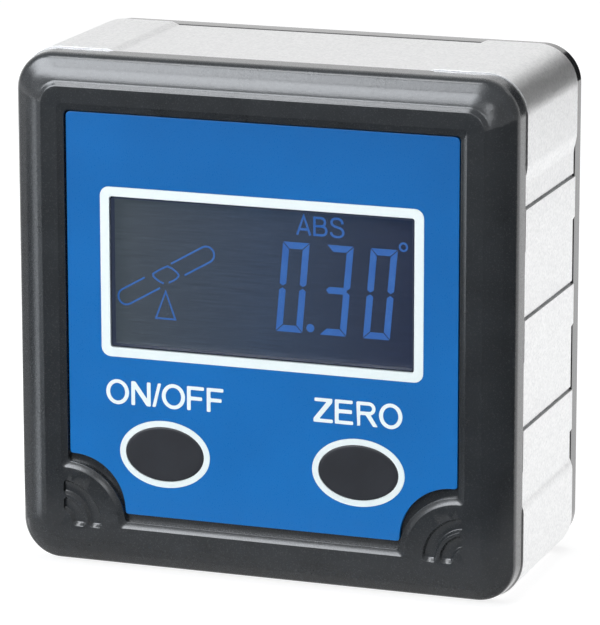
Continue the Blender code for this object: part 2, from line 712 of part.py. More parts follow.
def circuit_board():
    """Board with cut-outs for the frame's bosses, and its chips and screws."""
    half = INNER_HALF - BOARD_SIDE_GAP
    y0, y1 = at_depth(BOARD_FRONT), at_depth(BOARD_BACK)
    outline = notched_square(half, SCREW_AT, SCREW_AT, BOSS_RADIUS + BOARD_SIDE_GAP, CORNERS, 0.0, 5)
    bm = bmesh.new()
    loft(bm, [(outline, y0), (outline, y1)])
    board = finish("circuit_board", bm, BOARD)
    bm = bmesh.new()
    for x, z in board_posts():
        bore = BOARD_SCREW_RADIUS + FIT
        hole = [(BOARD_FRONT - FIT, bore), (BOARD_BACK + FIT, bore)]
        turned(bm, hole, 12, (x, at_depth(0.0), z), (0, 1, 0))
    for level in (-1, 1):
        x0, x1 = PLATE_AT - PLATE_THICK - FIT, PLATE_AT + FIT
        z = CENTRE_Z + level * CELL_LEVEL
        block(bm, x0, x1, y0 - FIT, y1 + FIT, z - TAIL_WIDTH / 2 - FIT, z + TAIL_WIDTH / 2 + FIT)
    combine(board, "DIFFERENCE", bm, "holes")

    for number, (x, z) in enumerate(board_posts(), 1):
        bm = bmesh.new()
        seat = BOARD_BACK + FILM_GAP
        screw = [
            (BOARD_FRONT - BOARD_SCREW_GRIP, BOARD_SCREW_RADIUS),
            (seat, BOARD_SCREW_RADIUS),
            (seat, BOARD_HEAD_RADIUS),
            (seat + BOARD_HEAD_THICK * 0.7, BOARD_HEAD_RADIUS),
            (seat + BOARD_HEAD_THICK, BOARD_HEAD_RADIUS * 0.6),
        ]
        turned(bm, screw, 16, (x, at_depth(0.0), z), (0, 1, 0))
        finish(f"board_screw_{number}", bm, STEEL)

    chips = (
        ("controller_chip", -CHIP_LEFT, CHIP_UP, CHIP_WIDTH, CHIP_HEIGHT),
        ("tilt_sensor", SENSOR_RIGHT, 0.0, SENSOR_WIDTH, SENSOR_HEIGHT),
    )
    for name, x, z, width, height in chips:
        bm = bmesh.new()
        front = BOARD_BACK + FILM_GAP
        z0 = CENTRE_Z + z - width / 2
        block(bm, x - width / 2, x + width / 2, at_depth(front), at_depth(front + height), z0, z0 + width)
        finish(name, bm, CHIP)


def cover_shell(bm):
    """Outer form that the rear cover and the door's end share: drafted sides and a round back edge."""
    rings = [(0.0, COVER_FRONT)]
    for n in range(5):
        a = n * pi / 8
        rings.append((COVER_DRAFT + COVER_ROUND * (1 - cos(a)), DEPTH - COVER_ROUND * (1 - sin(a))))
    outlines = []
    for inset, depth in rings:
        half = BEZEL_HALF - inset
        outlines.append((rounded_square(half, half, BEZEL_CORNER - inset, 8), at_depth(depth)))
    loft(bm, outlines)


def door_slab(bm, grow, x0, x1):
    """Door with a tongue along each long edge, run past the cover's back and larger all round by grow."""
    panel = TRAY_HALF_HEIGHT + grow
    tongue = panel + DOOR_RAIL
    front, back = at_depth(DOOR_FRONT - grow), at_depth(DEPTH + COVER_ROUND)
    rail_front = at_depth(DOOR_FRONT + DOOR_TONGUE_FRONT - grow)
    rail_back = at_depth(DOOR_FRONT + DOOR_TONGUE_FRONT + DOOR_TONGUE_THICK + grow)
    upper = [
        (front, panel), (rail_front, panel), (rail_front, tongue),
        (rail_back, tongue), (rail_back, panel), (back, panel),
    ]
    section = upper + [(y, -z) for y, z in reversed(upper)]
    skin(bm, [[(x, y, CENTRE_Z + z) for y, z in section] for x in (x0, x1)])


def rear_cover():
    """Rear cover with round back edge, battery tray, rails for the door and sunk screw seats."""
    bm = bmesh.new()
    cover_shell(bm)
    cover = finish("rear_cover", bm, BLACK)

    bm = bmesh.new()
    out_x, out_z = TRAY_HALF_WIDTH + TRAY_WALL, TRAY_HALF_HEIGHT + TRAY_WALL
    y1 = at_depth(COVER_FRONT + FIT)
    block(bm, -out_x, out_x, at_depth(TRAY_FRONT), y1, CENTRE_Z - out_z, CENTRE_Z + out_z)
    combine(cover, "UNION", bm, "tray")

    bm = bmesh.new()
    bed_z = TRAY_HALF_HEIGHT + FIT + DOOR_RAIL + TRAY_WALL
    y0 = at_depth(COVER_FRONT - TRAY_WALL)
    block(bm, -out_x - FIT, out_x + FIT, y0, y1 + FIT, CENTRE_Z - bed_z, CENTRE_Z + bed_z)
    tab_out = INNER_HALF - FIT
    y0 = at_depth(COVER_FRONT - TAB_LENGTH)
    for side in (-1, 1):
        z0, z1 = sorted((side * (tab_out - TAB_THICK), side * tab_out))
        block(bm, -TAB_HALF, TAB_HALF, y0, y1, CENTRE_Z + z0, CENTRE_Z + z1)
    combine(cover, "UNION", bm, "rail_bed")

    bm = bmesh.new()
    y0, y1 = at_depth(TRAY_INSIDE), at_depth(DOOR_FRONT)
    z0, z1 = CENTRE_Z - TRAY_HALF_HEIGHT, CENTRE_Z + TRAY_HALF_HEIGHT
    block(bm, -TRAY_HALF_WIDTH, TRAY_HALF_WIDTH, y0, y1, z0, z1)
    combine(cover, "DIFFERENCE", bm, "bay")

    bm = bmesh.new()
    door_slab(bm, FIT, -BODY_HALF - COVER_ROUND, TRAY_HALF_WIDTH + DOOR_LAP)
    combine(cover, "DIFFERENCE", bm, "door_slot")

    bm = bmesh.new()
    for sx, sz in CORNERS:
        centre = (sx * SCREW_AT, at_depth(0.0), CENTRE_Z + sz * SCREW_AT)
        bore = COVER_SCREW_RADIUS + FIT
        seat = DEPTH - COVER_HEAD_SINK
        wide = COVER_HEAD_RADIUS + FIT
        hole = [(COVER_FRONT - FIT, bore), (seat, bore), (seat, wide), (DEPTH + FIT, wide)]
        turned(bm, hole, 24, centre, (0, 1, 0))
    half = TAIL_WIDTH / 2 + FIT
    x0, x1 = PLATE_AT - PLATE_THICK - FIT, PLATE_AT + FIT / 2
    for level in (-1, 1):
        z = CENTRE_Z + level * CELL_LEVEL
        block(bm, x0, x1, at_depth(TRAY_FRONT - FIT), at_depth(TRAY_INSIDE + FIT), z - half, z + half)
    combine(cover, "DIFFERENCE", bm, "holes")


def battery_door():
    """Sliding door with a tongue along each long edge and a ribbed thumb dish."""
    x1 = TRAY_HALF_WIDTH + DOOR_LAP - FIT
    bm = bmesh.new()
    door_slab(bm, 0.0, -BODY_HALF - COVER_ROUND, x1)
    door = finish("battery_door", bm, BLACK, (x1, at_depth(DOOR_FRONT), CENTRE_Z))
    bm = bmesh.new()
    cover_shell(bm)
    combine(door, "INTERSECT", bm, "shell")

    bm = bmesh.new()
    dish_x = x1 - DISH_LENGTH
    half_x, half_z = DISH_LENGTH / 2, DISH_HEIGHT / 2
    rings = []
    for grow in (-DISH_DEPTH, DISH_DEPTH):
        corner = half_z + grow - FIT
        dish = rounded_square(half_x + grow, half_z + grow, corner, 6, CENTRE_Z, dish_x)
        rings.append((dish, at_depth(DEPTH + grow)))
    loft(bm, rings)
    combine(door, "DIFFERENCE", bm, "dish")

    bm = bmesh.new()
    reach = half_z - DISH_DEPTH - FIT
    half = GRIP_RIB_WIDTH / 2
    y0, y1 = at_depth(DEPTH - 1.5 * DISH_DEPTH), at_depth(DEPTH - FILM_GAP)
    for n in range(GRIP_RIBS):
        x = dish_x + (n - (GRIP_RIBS - 1) / 2) * GRIP_RIB_PITCH
        block(bm, x - half, x + half, y0, y1, CENTRE_Z - reach, CENTRE_Z + reach)
    combine(door, "UNION", bm, "ribs")


def battery_cells():
    """Two cells side by side, pointing opposite ways."""
    body = CELL_LENGTH - CELL_NUB_LENGTH
    edge = CELL_NUB_LENGTH / 2
    profile = [
        (0.0, CELL_RADIUS - edge),
        (edge, CELL_RADIUS),
        (body - edge, CELL_RADIUS),
        (body, CELL_RADIUS - edge),
        (body, CELL_NUB_RADIUS),
        (CELL_LENGTH, CELL_NUB_RADIUS * 0.85),
    ]
    for number, (level, point) in enumerate(((1, 1), (-1, -1)), 1):
        z = CENTRE_Z + level * CELL_LEVEL
        centre = (-point * CELL_LENGTH / 2, at_depth(CELL_DEPTH), z)
        bm = bmesh.new()
        turned(bm, profile, 32, centre, (point, 0, 0))
        finish(f"battery_cell_{number}", bm, CELL)


def contact_plate(name, side, levels, tail):
    """Contact at one end of the tray: a plate over the named levels, a dimple for each nub."""
    x_out = side * PLATE_AT
    x_in = side * (PLATE_AT - PLATE_THICK)
    x0, x1 = sorted((x_out, x_in))
    y_mid = at_depth(CELL_DEPTH)
    low = CENTRE_Z + min(levels) * CELL_LEVEL - PLATE_HALF
    high = CENTRE_Z + max(levels) * CELL_LEVEL + PLATE_HALF
    bm = bmesh.new()
    block(bm, x0, x1, y_mid - PLATE_HALF, y_mid + PLATE_HALF, low, high)
    plate = finish(name, bm, STEEL)
    bm = bmesh.new()
    parts = 0
    for level in levels:
        if level != side:
            continue
        reach = CONTACT_ROOM - FIT - PLATE_THICK - FIT
        start = (x_in + side * PLATE_THICK / 2, y_mid, CENTRE_Z + level * CELL_LEVEL)
        dimple = [(0.0, CELL_NUB_RADIUS * 1.3), (reach + PLATE_THICK / 2, CELL_NUB_RADIUS * 0.7)]
        turned(bm, dimple, 16, start, (-side, 0, 0))
        parts += 1
    if tail:
        z = CENTRE_Z + levels[0] * CELL_LEVEL
        block(
            bm, x0, x1, at_depth(BOARD_FRONT + FIT), y_mid - PLATE_HALF + PLATE_THICK,
            z - TAIL_WIDTH / 2, z + TAIL_WIDTH / 2,
        )
        parts += 1
    if parts:
        combine(plate, "UNION", bm, "form")
    else:
        bm.free()


def contact_spring(name, side, level):
    """Conical wire spring between a contact plate and a cell's flat end."""
    plate = PLATE_AT - PLATE_THICK - FIT - WIRE_RADIUS
    cell = CELL_LENGTH / 2 + FIT + WIRE_RADIUS
    y_mid, z_mid = at_depth(CELL_DEPTH), CENTRE_Z + level * CELL_LEVEL
    per_turn, sides = 14, 6
    count = SPRING_TURNS * per_turn
    round_wire = [2 * pi * k / sides for k in range(sides)]
    along = Vector((1.0, 0.0, 0.0))
    rings = []
    for i in range(count + 1):
        t = i / count
        a = 2 * pi * SPRING_TURNS * t
        radius = SPRING_BASE_RADIUS + (SPRING_TIP_RADIUS - SPRING_BASE_RADIUS) * t
        out = Vector((0.0, cos(a), sin(a)))
        centre = Vector((side * (plate + (cell - plate) * t), y_mid, z_mid)) + out * radius
        rings.append([centre + (out * cos(b) + along * sin(b)) * WIRE_RADIUS for b in round_wire])
    bm = bmesh.new()
    skin(bm, rings)
    finish(name, bm, STEEL)


def contacts():
    """Two separate contacts with tails at the right end, one bridge at the left end, two springs."""
    contact_plate("positive_contact", 1, (1,), True)
    contact_plate("negative_contact", 1, (-1,), True)
    contact_plate("bridge_contact", -1, (-1, 1), False)
    contact_spring("contact_spring_1", 1, -1)
    contact_spring("contact_spring_2", -1, 1)


def cover_screws():
    """Four long screws from the rear cover through the frame into the bezel."""
    for number, (sx, sz) in enumerate(CORNERS, 1):
        seat = DEPTH - COVER_HEAD_SINK + FILM_GAP
        screw = [
            (RIM_DEPTH - COVER_SCREW_GRIP, COVER_SCREW_RADIUS),
            (seat, COVER_SCREW_RADIUS),
            (seat, COVER_HEAD_RADIUS),
            (seat + COVER_HEAD_THICK * 0.8, COVER_HEAD_RADIUS),
            (seat + COVER_HEAD_THICK, COVER_HEAD_RADIUS * 0.8),
        ]
        bm = bmesh.new()
        turned(bm, screw, 24, (sx * SCREW_AT, at_depth(0.0), CENTRE_Z + sz * SCREW_AT), (0, 1, 0))
        finish(f"cover_screw_{number}", bm, STEEL)


extruded_frame()
base_magnets()
front_bezel()
face_label()
display()
keypad()
circuit_board()
rear_cover()
battery_door()
battery_cells()
contacts()
cover_screws()
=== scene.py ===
from math import asin, atan2, cos, pi, radians, sin, sqrt

import bmesh
import bpy
from mathutils import Matrix, Vector


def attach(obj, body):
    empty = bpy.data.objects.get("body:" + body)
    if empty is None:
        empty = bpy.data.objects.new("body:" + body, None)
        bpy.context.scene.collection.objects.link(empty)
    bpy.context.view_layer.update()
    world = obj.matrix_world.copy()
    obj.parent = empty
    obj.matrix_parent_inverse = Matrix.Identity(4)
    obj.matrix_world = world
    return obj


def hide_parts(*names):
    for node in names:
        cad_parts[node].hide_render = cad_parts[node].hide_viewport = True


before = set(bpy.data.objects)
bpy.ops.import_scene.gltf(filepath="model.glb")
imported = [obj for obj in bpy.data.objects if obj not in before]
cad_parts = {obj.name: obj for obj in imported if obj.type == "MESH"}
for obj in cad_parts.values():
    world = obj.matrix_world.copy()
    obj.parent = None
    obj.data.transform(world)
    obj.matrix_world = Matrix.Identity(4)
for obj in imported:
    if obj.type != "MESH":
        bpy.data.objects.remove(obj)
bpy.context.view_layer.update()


# Camera.
# The level is seen from the right and a little above, through a long lens,
# so that the front face stays nearly square.

camera_data = bpy.data.cameras.new("studio_camera")
camera_data.sensor_fit = "HORIZONTAL"
camera_data.sensor_width = 36.0
camera_data.lens = 255.25
camera_data.clip_start = 0.01
camera_data.clip_end = 20.0
camera = bpy.data.objects.new("studio_camera", camera_data)
camera_right = Vector((0.94193306, 0.33579823, -0.00128914))
camera_up = Vector((-0.07789992, 0.22224476, 0.9718739))
camera_back = Vector((0.32664004, -0.91533973, 0.23549834))
camera.matrix_world = Matrix.Translation((0.1476147, -0.4132062, 0.1329663)) @ Matrix(
    (camera_right, camera_up, camera_back)).transposed().to_4x4()
bpy.context.scene.collection.objects.link(camera)
bpy.context.scene.camera = camera
bpy.context.scene.view_settings.view_transform = "Standard"


# Floor, surroundings and lamps.
# A white sweep, a soft box high in front that draws the light band on the upper bevel, a
# top light, and cards that only the reflections see: black ones low in front and behind
# the round corner, bright ones above and on the floor at the left.

BODY_HALF = 27.7  # half the level's width and height in mm, so its middle is this high
WHITE = (1.0, 1.0, 1.0, 1.0)
middle = Vector((0.0, 0.0, BODY_HALF * 0.001))


def shader_tree(material):
    """Cleared node tree of a material or a world."""
    material.use_nodes = True
    tree = material.node_tree
    tree.nodes.clear()
    return tree


def feed(tree, node, **inputs):
    """Set a node's inputs by name to a value, or link them from a socket or a node's first output."""
    for label, value in inputs.items():
        target = node.inputs[label.replace("_", " ")]
        value = value.outputs[0] if hasattr(value, "outputs") else value
        if hasattr(value, "is_linked"):
            tree.links.new(value, target)
        else:
            target.default_value = value


def add(tree, kind, **settings):
    """New node; small-letter settings are its properties, and capital ones feed its inputs."""
    made = tree.nodes.new("ShaderNode" + kind)
    for key, value in settings.items():
        if key[0].isupper():
            feed(tree, made, **{key: value})
        else:
            setattr(made, key, value)
    return made


def join(tree, *pairs):
    """Link output, input, output, input and so on; a node stands for its first output."""
    for source, target in zip(pairs[::2], pairs[1::2]):
        tree.links.new(source.outputs[0] if hasattr(source, "outputs") else source, target)


floor_paint = bpy.data.materials.new("pale_floor")
tree = shader_tree(floor_paint)
seen = add(tree, "LightPath")
mirrored = add(tree, "Math", operation="ADD", use_clamp=True)
shown = add(tree, "Math", operation="ADD", use_clamp=True)
glow = add(tree, "Emission", Color=WHITE, Strength=0.83)
plain = add(tree, "BsdfDiffuse", Color=(0.70, 0.70, 0.70, 1.0))
shade = add(tree, "BsdfDiffuse", Color=(0.30, 0.30, 0.30, 1.0))
lit = add(tree, "AddShader")
mixed = add(tree, "MixShader", Fac=shown)
join(tree, seen.outputs["Is Camera Ray"], mirrored.inputs[0],
     seen.outputs["Is Glossy Ray"], mirrored.inputs[1],
     mirrored, shown.inputs[0], seen.outputs["Is Transmission Ray"], shown.inputs[1],
     glow, lit.inputs[0], shade, lit.inputs[1], plain, mixed.inputs[1], lit, mixed.inputs[2])
add(tree, "OutputMaterial", Surface=mixed)


def stage_plane(name, corners, material):
    """Flat sheet of the studio, which isn't part of the level."""
    mesh = bpy.data.meshes.new(name)
    mesh.from_pydata(corners, [], [(0, 1, 2, 3)])
    mesh.materials.append(material)
    sheet = bpy.data.objects.new(name, mesh)
    bpy.context.scene.collection.objects.link(sheet)


def lying_plane(name, left, right, near, far, height, material):
    """Rectangle of the studio that lies flat at this height."""
    corners = [(left, near, height), (right, near, height), (right, far, height), (left, far, height)]
    stage_plane(name, corners, material)


lying_plane("floor", -3, 3, -3, 3, -0.00005, floor_paint)

world = bpy.data.worlds.new("white_room")
bpy.context.scene.world = world
tree = shader_tree(world)
seen = add(tree, "LightPath")
mirrored = add(tree, "Math", operation="ADD", use_clamp=True)
split = add(tree, "SeparateXYZ", Vector=add(tree, "TexCoord").outputs["Generated"])
fade = add(tree, "MapRange", Value=split.outputs["Z"], From_Min=0.05, From_Max=0.22, To_Min=1.0, To_Max=0.90)
behind = add(tree, "MapRange", Value=split.outputs["Y"], From_Min=0.05, From_Max=0.65, To_Min=0.38, To_Max=1.0)
strength = add(tree, "Math", operation="MULTIPLY")
room = add(tree, "Background", Color=(0.95, 0.97, 1.0, 1.0), Strength=0.30)
sweep = add(tree, "Background", Color=WHITE, Strength=strength)
white = add(tree, "Background", Color=WHITE, Strength=1.0)
lit = add(tree, "MixShader", Fac=mirrored)
mixed = add(tree, "MixShader", Fac=seen.outputs["Is Camera Ray"])
join(tree, seen.outputs["Is Glossy Ray"], mirrored.inputs[0],
     seen.outputs["Is Transmission Ray"], mirrored.inputs[1],
     fade, strength.inputs[0], behind, strength.inputs[1],
     room, lit.inputs[1], sweep, lit.inputs[2], lit, mixed.inputs[1], white, mixed.inputs[2])
add(tree, "OutputWorld", Surface=mixed)


def soft_box(name, direction, distance, width, height, power, colour):
    """Rectangular lamp that lies this way from the level and faces it."""
    lamp = bpy.data.lights.new(name, "AREA")
    lamp.shape = "RECTANGLE"
    lamp.size, lamp.size_y = width, height
    lamp.energy = power
    lamp.color = colour
    holder = bpy.data.objects.new(name, lamp)
    away = Vector(direction).normalized()
    holder.location = middle + away * distance
    holder.rotation_euler = away.to_track_quat("Z", "Y").to_euler()
    bpy.context.scene.collection.objects.link(holder)
    return holder


soft_box("front_soft_box", (-0.30, -0.44, 0.275), distance=0.60, width=0.46, height=0.26, power=2.65,
         colour=(0.92, 0.955, 1.0))
top_light = soft_box("top_soft_box", (0.0, 0.05, 1.0), distance=0.50, width=0.34, height=0.34, power=1.5,
                     colour=(1.0, 1.0, 1.0))
top_light.visible_glossy = False


def reflector(name, colour, strength):
    """Paint of a card that only the reflections see."""
    paint = bpy.data.materials.new(name)
    tree = shader_tree(paint)
    glow = add(tree, "Emission", Color=(*colour, 1.0), Strength=strength)
    gone = add(tree, "BsdfTransparent")
    mixed = add(tree, "MixShader", Fac=add(tree, "LightPath").outputs["Is Glossy Ray"])
    join(tree, gone, mixed.inputs[1], glow, mixed.inputs[2])
    add(tree, "OutputMaterial", Surface=mixed)
    return paint


black_card = reflector("black_card", (1.0, 1.0, 1.0), 0.012)
grey_card = reflector("grey_card", (1.0, 1.0, 1.0), 0.36)
bright_card = reflector("bright_card", (0.95, 0.97, 1.0), 6.5)
lying_plane("front_card", -0.30, 0.50, -0.60, -0.0095, 0.00005, black_card)
lying_plane("near_card", -0.06, 0.06, -0.034, -0.0095, 0.0001, grey_card)
stage_plane("corner_card", [(0.046, 0.223, 0.025), (0.158, 0.170, 0.025), (0.158, 0.170, 0.170),
                            (0.046, 0.223, 0.170)], black_card)
strip = [(radians(turn), away) for turn, away in ((46, 0.015), (60, 0.015), (60, 0.34), (46, 0.34))]
stage_plane("floor_strip",
            [(-0.027 - away * sin(turn), -0.012 - away * cos(turn), 0.0007) for turn, away in strip],
            reflector("light_strip", (0.90, 0.95, 1.0), 2.2))
stage_plane("left_card", [(-0.40, -0.055, 0.0006), (-0.045, -0.035, 0.0006), (-0.045, 0.045, 0.0006),
                          (-0.40, 0.045, 0.0006)], grey_card)
stage_plane("right_card", [(0.000, -0.495, 0.085), (0.045, -0.495, 0.085), (0.115, -0.460, 0.200),
                           (0.065, -0.460, 0.200)], bright_card)
stage_plane("rim_card", [(0.22, 0.00, 0.30), (0.30, 0.00, 0.30), (0.28, 0.09, 0.34), (0.20, 0.09, 0.34)],
            reflector("pale_card", (1.0, 1.0, 1.0), 2.5))
upper = middle + Vector((-0.327, -0.533, 0.779)) * 0.5
stage_plane("upper_card", [tuple(upper + Vector((across, rise * 0.85, rise * 0.55))) for across, rise in
                           ((-0.10, -0.06), (0.10, -0.06), (0.10, 0.06), (-0.10, 0.06))], bright_card)


# Extruded frame.
# Square tube of extruded aluminium that carries the whole level. Its sides are milled
# flat, blasted and clear anodised, with a shallow recess and three ribs on each flank.

CORNERS = ((1, 1), (-1, 1), (-1, -1), (1, -1))
HALF_DEPTH = 12.2
FRAME_FRONT, FRAME_BACK = 3.6, 21.9
FRAME_CORNER, INNER_HALF = 4.4, 25.7
RECESS_HALF, RECESS = 17.0, 0.35
BAND_PITCH, BAND_HEIGHT, BAND_RAMP, BAND_INSET = 11.6, 4.3, 0.40, 0.13
GROOVE_WIDTH, GROOVE_FLOOR = 0.30, 0.52
SCREW_AT, SCREW_BORE, SCREW_CHANNEL = 22.6, 1.2, 3.6
MAGNET_AT, MAGNET_DEPTH, MAGNET_FIT, POCKET_TOP = 10.0, 12.75, 4.2, 1.45


def spot(x, z, depth):
    """Place in metres of mm across, mm above the middle and mm behind the bezel's land."""
    return Vector((x * 0.001, (depth - HALF_DEPTH) * 0.001, (BODY_HALF + z) * 0.001))


def arc(cx, cz, radius, start, end, steps):
    return [(cx + radius * cos(start + (end - start) * i / steps),
             cz + radius * sin(start + (end - start) * i / steps)) for i in range(steps + 1)]


def ellipse(cx, cz, half_x, half_z, steps):
    return [(cx + half_x * cos(a), cz + half_z * sin(a)) for a in (2 * pi * i / steps for i in range(steps))]


def circle(cx, cz, radius, steps=32):
    return ellipse(cx, cz, radius, radius, steps)


def bend(start, corner, end, steps):
    """Smooth curve from start towards corner and on to end."""
    first, turn, last = Vector(start), Vector(corner), Vector(end)
    shares = [k / steps for k in range(steps + 1)]
    return [tuple(first * (1 - t) ** 2 + turn * 2 * t * (1 - t) + last * t ** 2) for t in shares]


def notched_square(half, centre_x, centre_z, radius, quadrants, corner, steps=8, reach=0.0, end=None):
    """Square with an arc cut out of the named corners, where its half height may be end.

    reach softens where the arc meets a side.
    """
    points, sharp = [], []
    end = end or half
    for quarter, (sx, sz) in enumerate(CORNERS):
        if (sx, sz) not in quadrants:
            inset = half - corner
            points += arc(sx * inset, sz * inset, corner, quarter * pi / 2, (quarter + 1) * pi / 2, steps)
            continue
        side_z = centre_z - sqrt(radius ** 2 - (centre_x - half) ** 2)
        side_x = centre_x - sqrt(radius ** 2 - (centre_z - end) ** 2)
        on_side = atan2(side_z - centre_z, half - centre_x) % (2 * pi)
        on_end = atan2(end - centre_z, side_x - centre_x) % (2 * pi)
        notch = [(sx * x, sz * z) for x, z in arc(centre_x, centre_z, radius, on_side, on_end, 3 * steps)]
        if quarter in (1, 3):
            notch.reverse()
        sharp += [len(points), len(points) + len(notch) - 1]
        points += notch
    if not reach:
        return points
    eased = []
    for i, point in enumerate(points):
        if i not in sharp:
            eased.append(point)
            continue
        here = Vector(point)
        before = here + (Vector(points[i - 1]) - here).normalized() * reach
        after = here + (Vector(points[(i + 1) % len(points)]) - here).normalized() * reach
        eased += bend(before, here, after, 5)
    return eased


def shifted(outline, amount):
    """Outline moved outwards by this amount all along, or inwards if it is negative."""
    moved = []
    count = len(outline)
    for i in range(count):
        here = Vector(outline[i])
        back, ahead = here - Vector(outline[i - 1]), Vector(outline[(i + 1) % count]) - here
        if back.length < 1e-9 or ahead.length < 1e-9:
            moved.append(tuple(here + Vector((ahead + back)).normalized().yx * Vector((1, -1)) * amount))
            continue
        n0, n1 = Vector((back.y, -back.x)).normalized(), Vector((ahead.y, -ahead.x)).normalized()
        moved.append(tuple(here + (n0 + n1) * (amount / max(0.3, 1 + n0.dot(n1)))))
    return moved


def hoop(bm, outline, depth):
    """Closed row of points along an outline at one depth."""
    return [bm.verts.new(spot(x, z, depth)) for x, z in outline]


def wall(bm, hoops):
    """Surface through closed rows of points."""
    for near, far in zip(hoops, hoops[1:]):
        for i in range(len(near)):
            j = (i + 1) % len(near)
            bm.faces.new((near[i], near[j], far[j], far[i]))


def flat(bm, hoops, normal=(0.0, 1.0, 0.0)):
    """Flat face that fills what lies between closed rows of points."""
    edges = []
    for row in hoops:
        for i in range(len(row)):
            pair = (row[i - 1], row[i])
            edges.append(bm.edges.get(pair) or bm.edges.new(pair))
    bmesh.ops.triangle_fill(bm, use_beauty=True, use_dissolve=False, edges=edges, normal=normal)


def piece(name, bm, material, body="case", stands_for=(), sharp=40.0, weighted=True):
    """Finished piece from its mesh: outward faces, smooth bends and its material.

    It rides on its body and stands for the named nodes.
    """
    bmesh.ops.recalc_face_normals(bm, faces=bm.faces)
    mesh = bpy.data.meshes.new(name)
    bm.to_mesh(mesh)
    bm.free()
    mesh.shade_smooth()
    mesh.set_sharp_from_angle(angle=radians(sharp))
    thing = bpy.data.objects.new(name, mesh)
    bpy.context.scene.collection.objects.link(thing)
    mesh.materials.append(material)
    if weighted:
        even = thing.modifiers.new("even_shading", "WEIGHTED_NORMAL")
        even.keep_sharp = True
    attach(thing, body)
    if stands_for:
        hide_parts(*stands_for)
    return thing


def cut(thing, operation, bm):
    """Boolean of a piece with a helper mesh, applied at once."""
    bmesh.ops.recalc_face_normals(bm, faces=bm.faces)
    mesh = bpy.data.meshes.new("tool")
    bm.to_mesh(mesh)
    bm.free()
    tool = bpy.data.objects.new("tool", mesh)
    bpy.context.scene.collection.objects.link(tool)
    change = thing.modifiers.new("change", "BOOLEAN")
    change.operation, change.solver, change.object = operation, "EXACT", tool
    thing.modifiers.move(len(thing.modifiers) - 1, 0)
    bpy.context.view_layer.objects.active = thing
    bpy.ops.object.modifier_apply(modifier=change.name)
    bpy.data.objects.remove(tool)
    thing.data.shade_smooth()
    thing.data.set_sharp_from_angle(angle=radians(30))


def millimetres(tree):
    """Coordinates of the piece in millimetres."""
    place = add(tree, "TexCoord").outputs["Object"]
    scaled = add(tree, "VectorMath", operation="SCALE", Scale=1000.0)
    join(tree, place, scaled.inputs[0])
    return scaled.outputs[0]


def finish_tree(name, **shader_values):
    """Material with one Principled shader; returns it with its tree and shader."""
    material = bpy.data.materials.new(name)
    tree = shader_tree(material)
    shader = add(tree, "BsdfPrincipled", **shader_values)
    add(tree, "OutputMaterial", Surface=shader)
    return material, tree, shader


def ramp(tree, share, *colours):
    """Colour ramp through these colours, evenly spaced, followed by a share from 0 to 1."""
    made = add(tree, "ValToRGB", Fac=share)
    stops = made.color_ramp.elements
    for n in range(1, len(colours) - 1):
        stops.new(n / (len(colours) - 1))
    for stop, colour in zip(stops, colours):
        stop.color = (*colour, 1.0)
    return made


blasted_aluminium, tree, shader = finish_tree("blasted_aluminium", Metallic=1.0)
place = millimetres(tree)
sparkle = add(tree, "TexVoronoi", Vector=place, Scale=4.6)
blast = add(tree, "TexNoise", Vector=place, Scale=8.0, Detail=3.0, Roughness=0.7)
feed(tree, shader, Base_Color=ramp(tree, sparkle.outputs["Color"], (0.80, 0.805, 0.81), (1.0, 1.0, 1.0)),
     Roughness=add(tree, "MapRange", Value=sparkle.outputs["Distance"], To_Min=0.26, To_Max=0.46),
     Normal=add(tree, "Bump", Height=blast, Strength=0.65, Distance=0.00003))

frame_flank = [(18.4, 0.0), (18.0, 0.03), (17.6, 0.11), (17.1, 0.22), (16.7, 0.31), (16.3, RECESS)]
for level in (BAND_PITCH, 0.0, -BAND_PITCH):
    top, foot = level + BAND_HEIGHT / 2, level - BAND_HEIGHT / 2
    frame_flank += [(top + GROOVE_WIDTH, RECESS), (top + 0.26, GROOVE_FLOOR), (top + 0.04, GROOVE_FLOOR),
                    (top, 0.18), (top, BAND_INSET), (top - 0.05, BAND_INSET), (foot, BAND_INSET),
                    (foot - BAND_RAMP, RECESS)]
frame_flank += [(-RECESS_HALF, RECESS), (-17.4, 0.20), (-17.9, 0.03), (-18.3, 0.0)]
frame_plain = [(17.8, 0.0), (RECESS_HALF, RECESS), (-RECESS_HALF, RECESS), (-17.8, 0.0)]
turn_at = BODY_HALF - FRAME_CORNER
frame_section = [(BODY_HALF - inset, t) for t, inset in reversed(frame_flank)]
frame_section += arc(turn_at, turn_at, FRAME_CORNER, 0.0, pi / 2, 24)
frame_section += [(t, BODY_HALF - inset) for t, inset in frame_plain]
frame_section += arc(-turn_at, turn_at, FRAME_CORNER, pi / 2, pi, 24)
frame_section += [(inset - BODY_HALF, t) for t, inset in frame_flank]
frame_section += arc(-turn_at, -turn_at, FRAME_CORNER, pi, 1.5 * pi, 24)
frame_section += [(-t, inset - BODY_HALF) for t, inset in frame_plain]
frame_section += arc(turn_at, -turn_at, FRAME_CORNER, 1.5 * pi, 2 * pi, 24)
frame_hollow = notched_square(INNER_HALF, SCREW_AT, SCREW_AT, SCREW_CHANNEL, CORNERS, 0.0, 8)
front_round = ((-0.04, 0.0), (-0.012, 0.012), (0.0, 0.04))
back_round = ((0.0, 0.24), (-0.03, 0.14), (-0.09, 0.07), (-0.17, 0.025), (-0.26, 0.0))

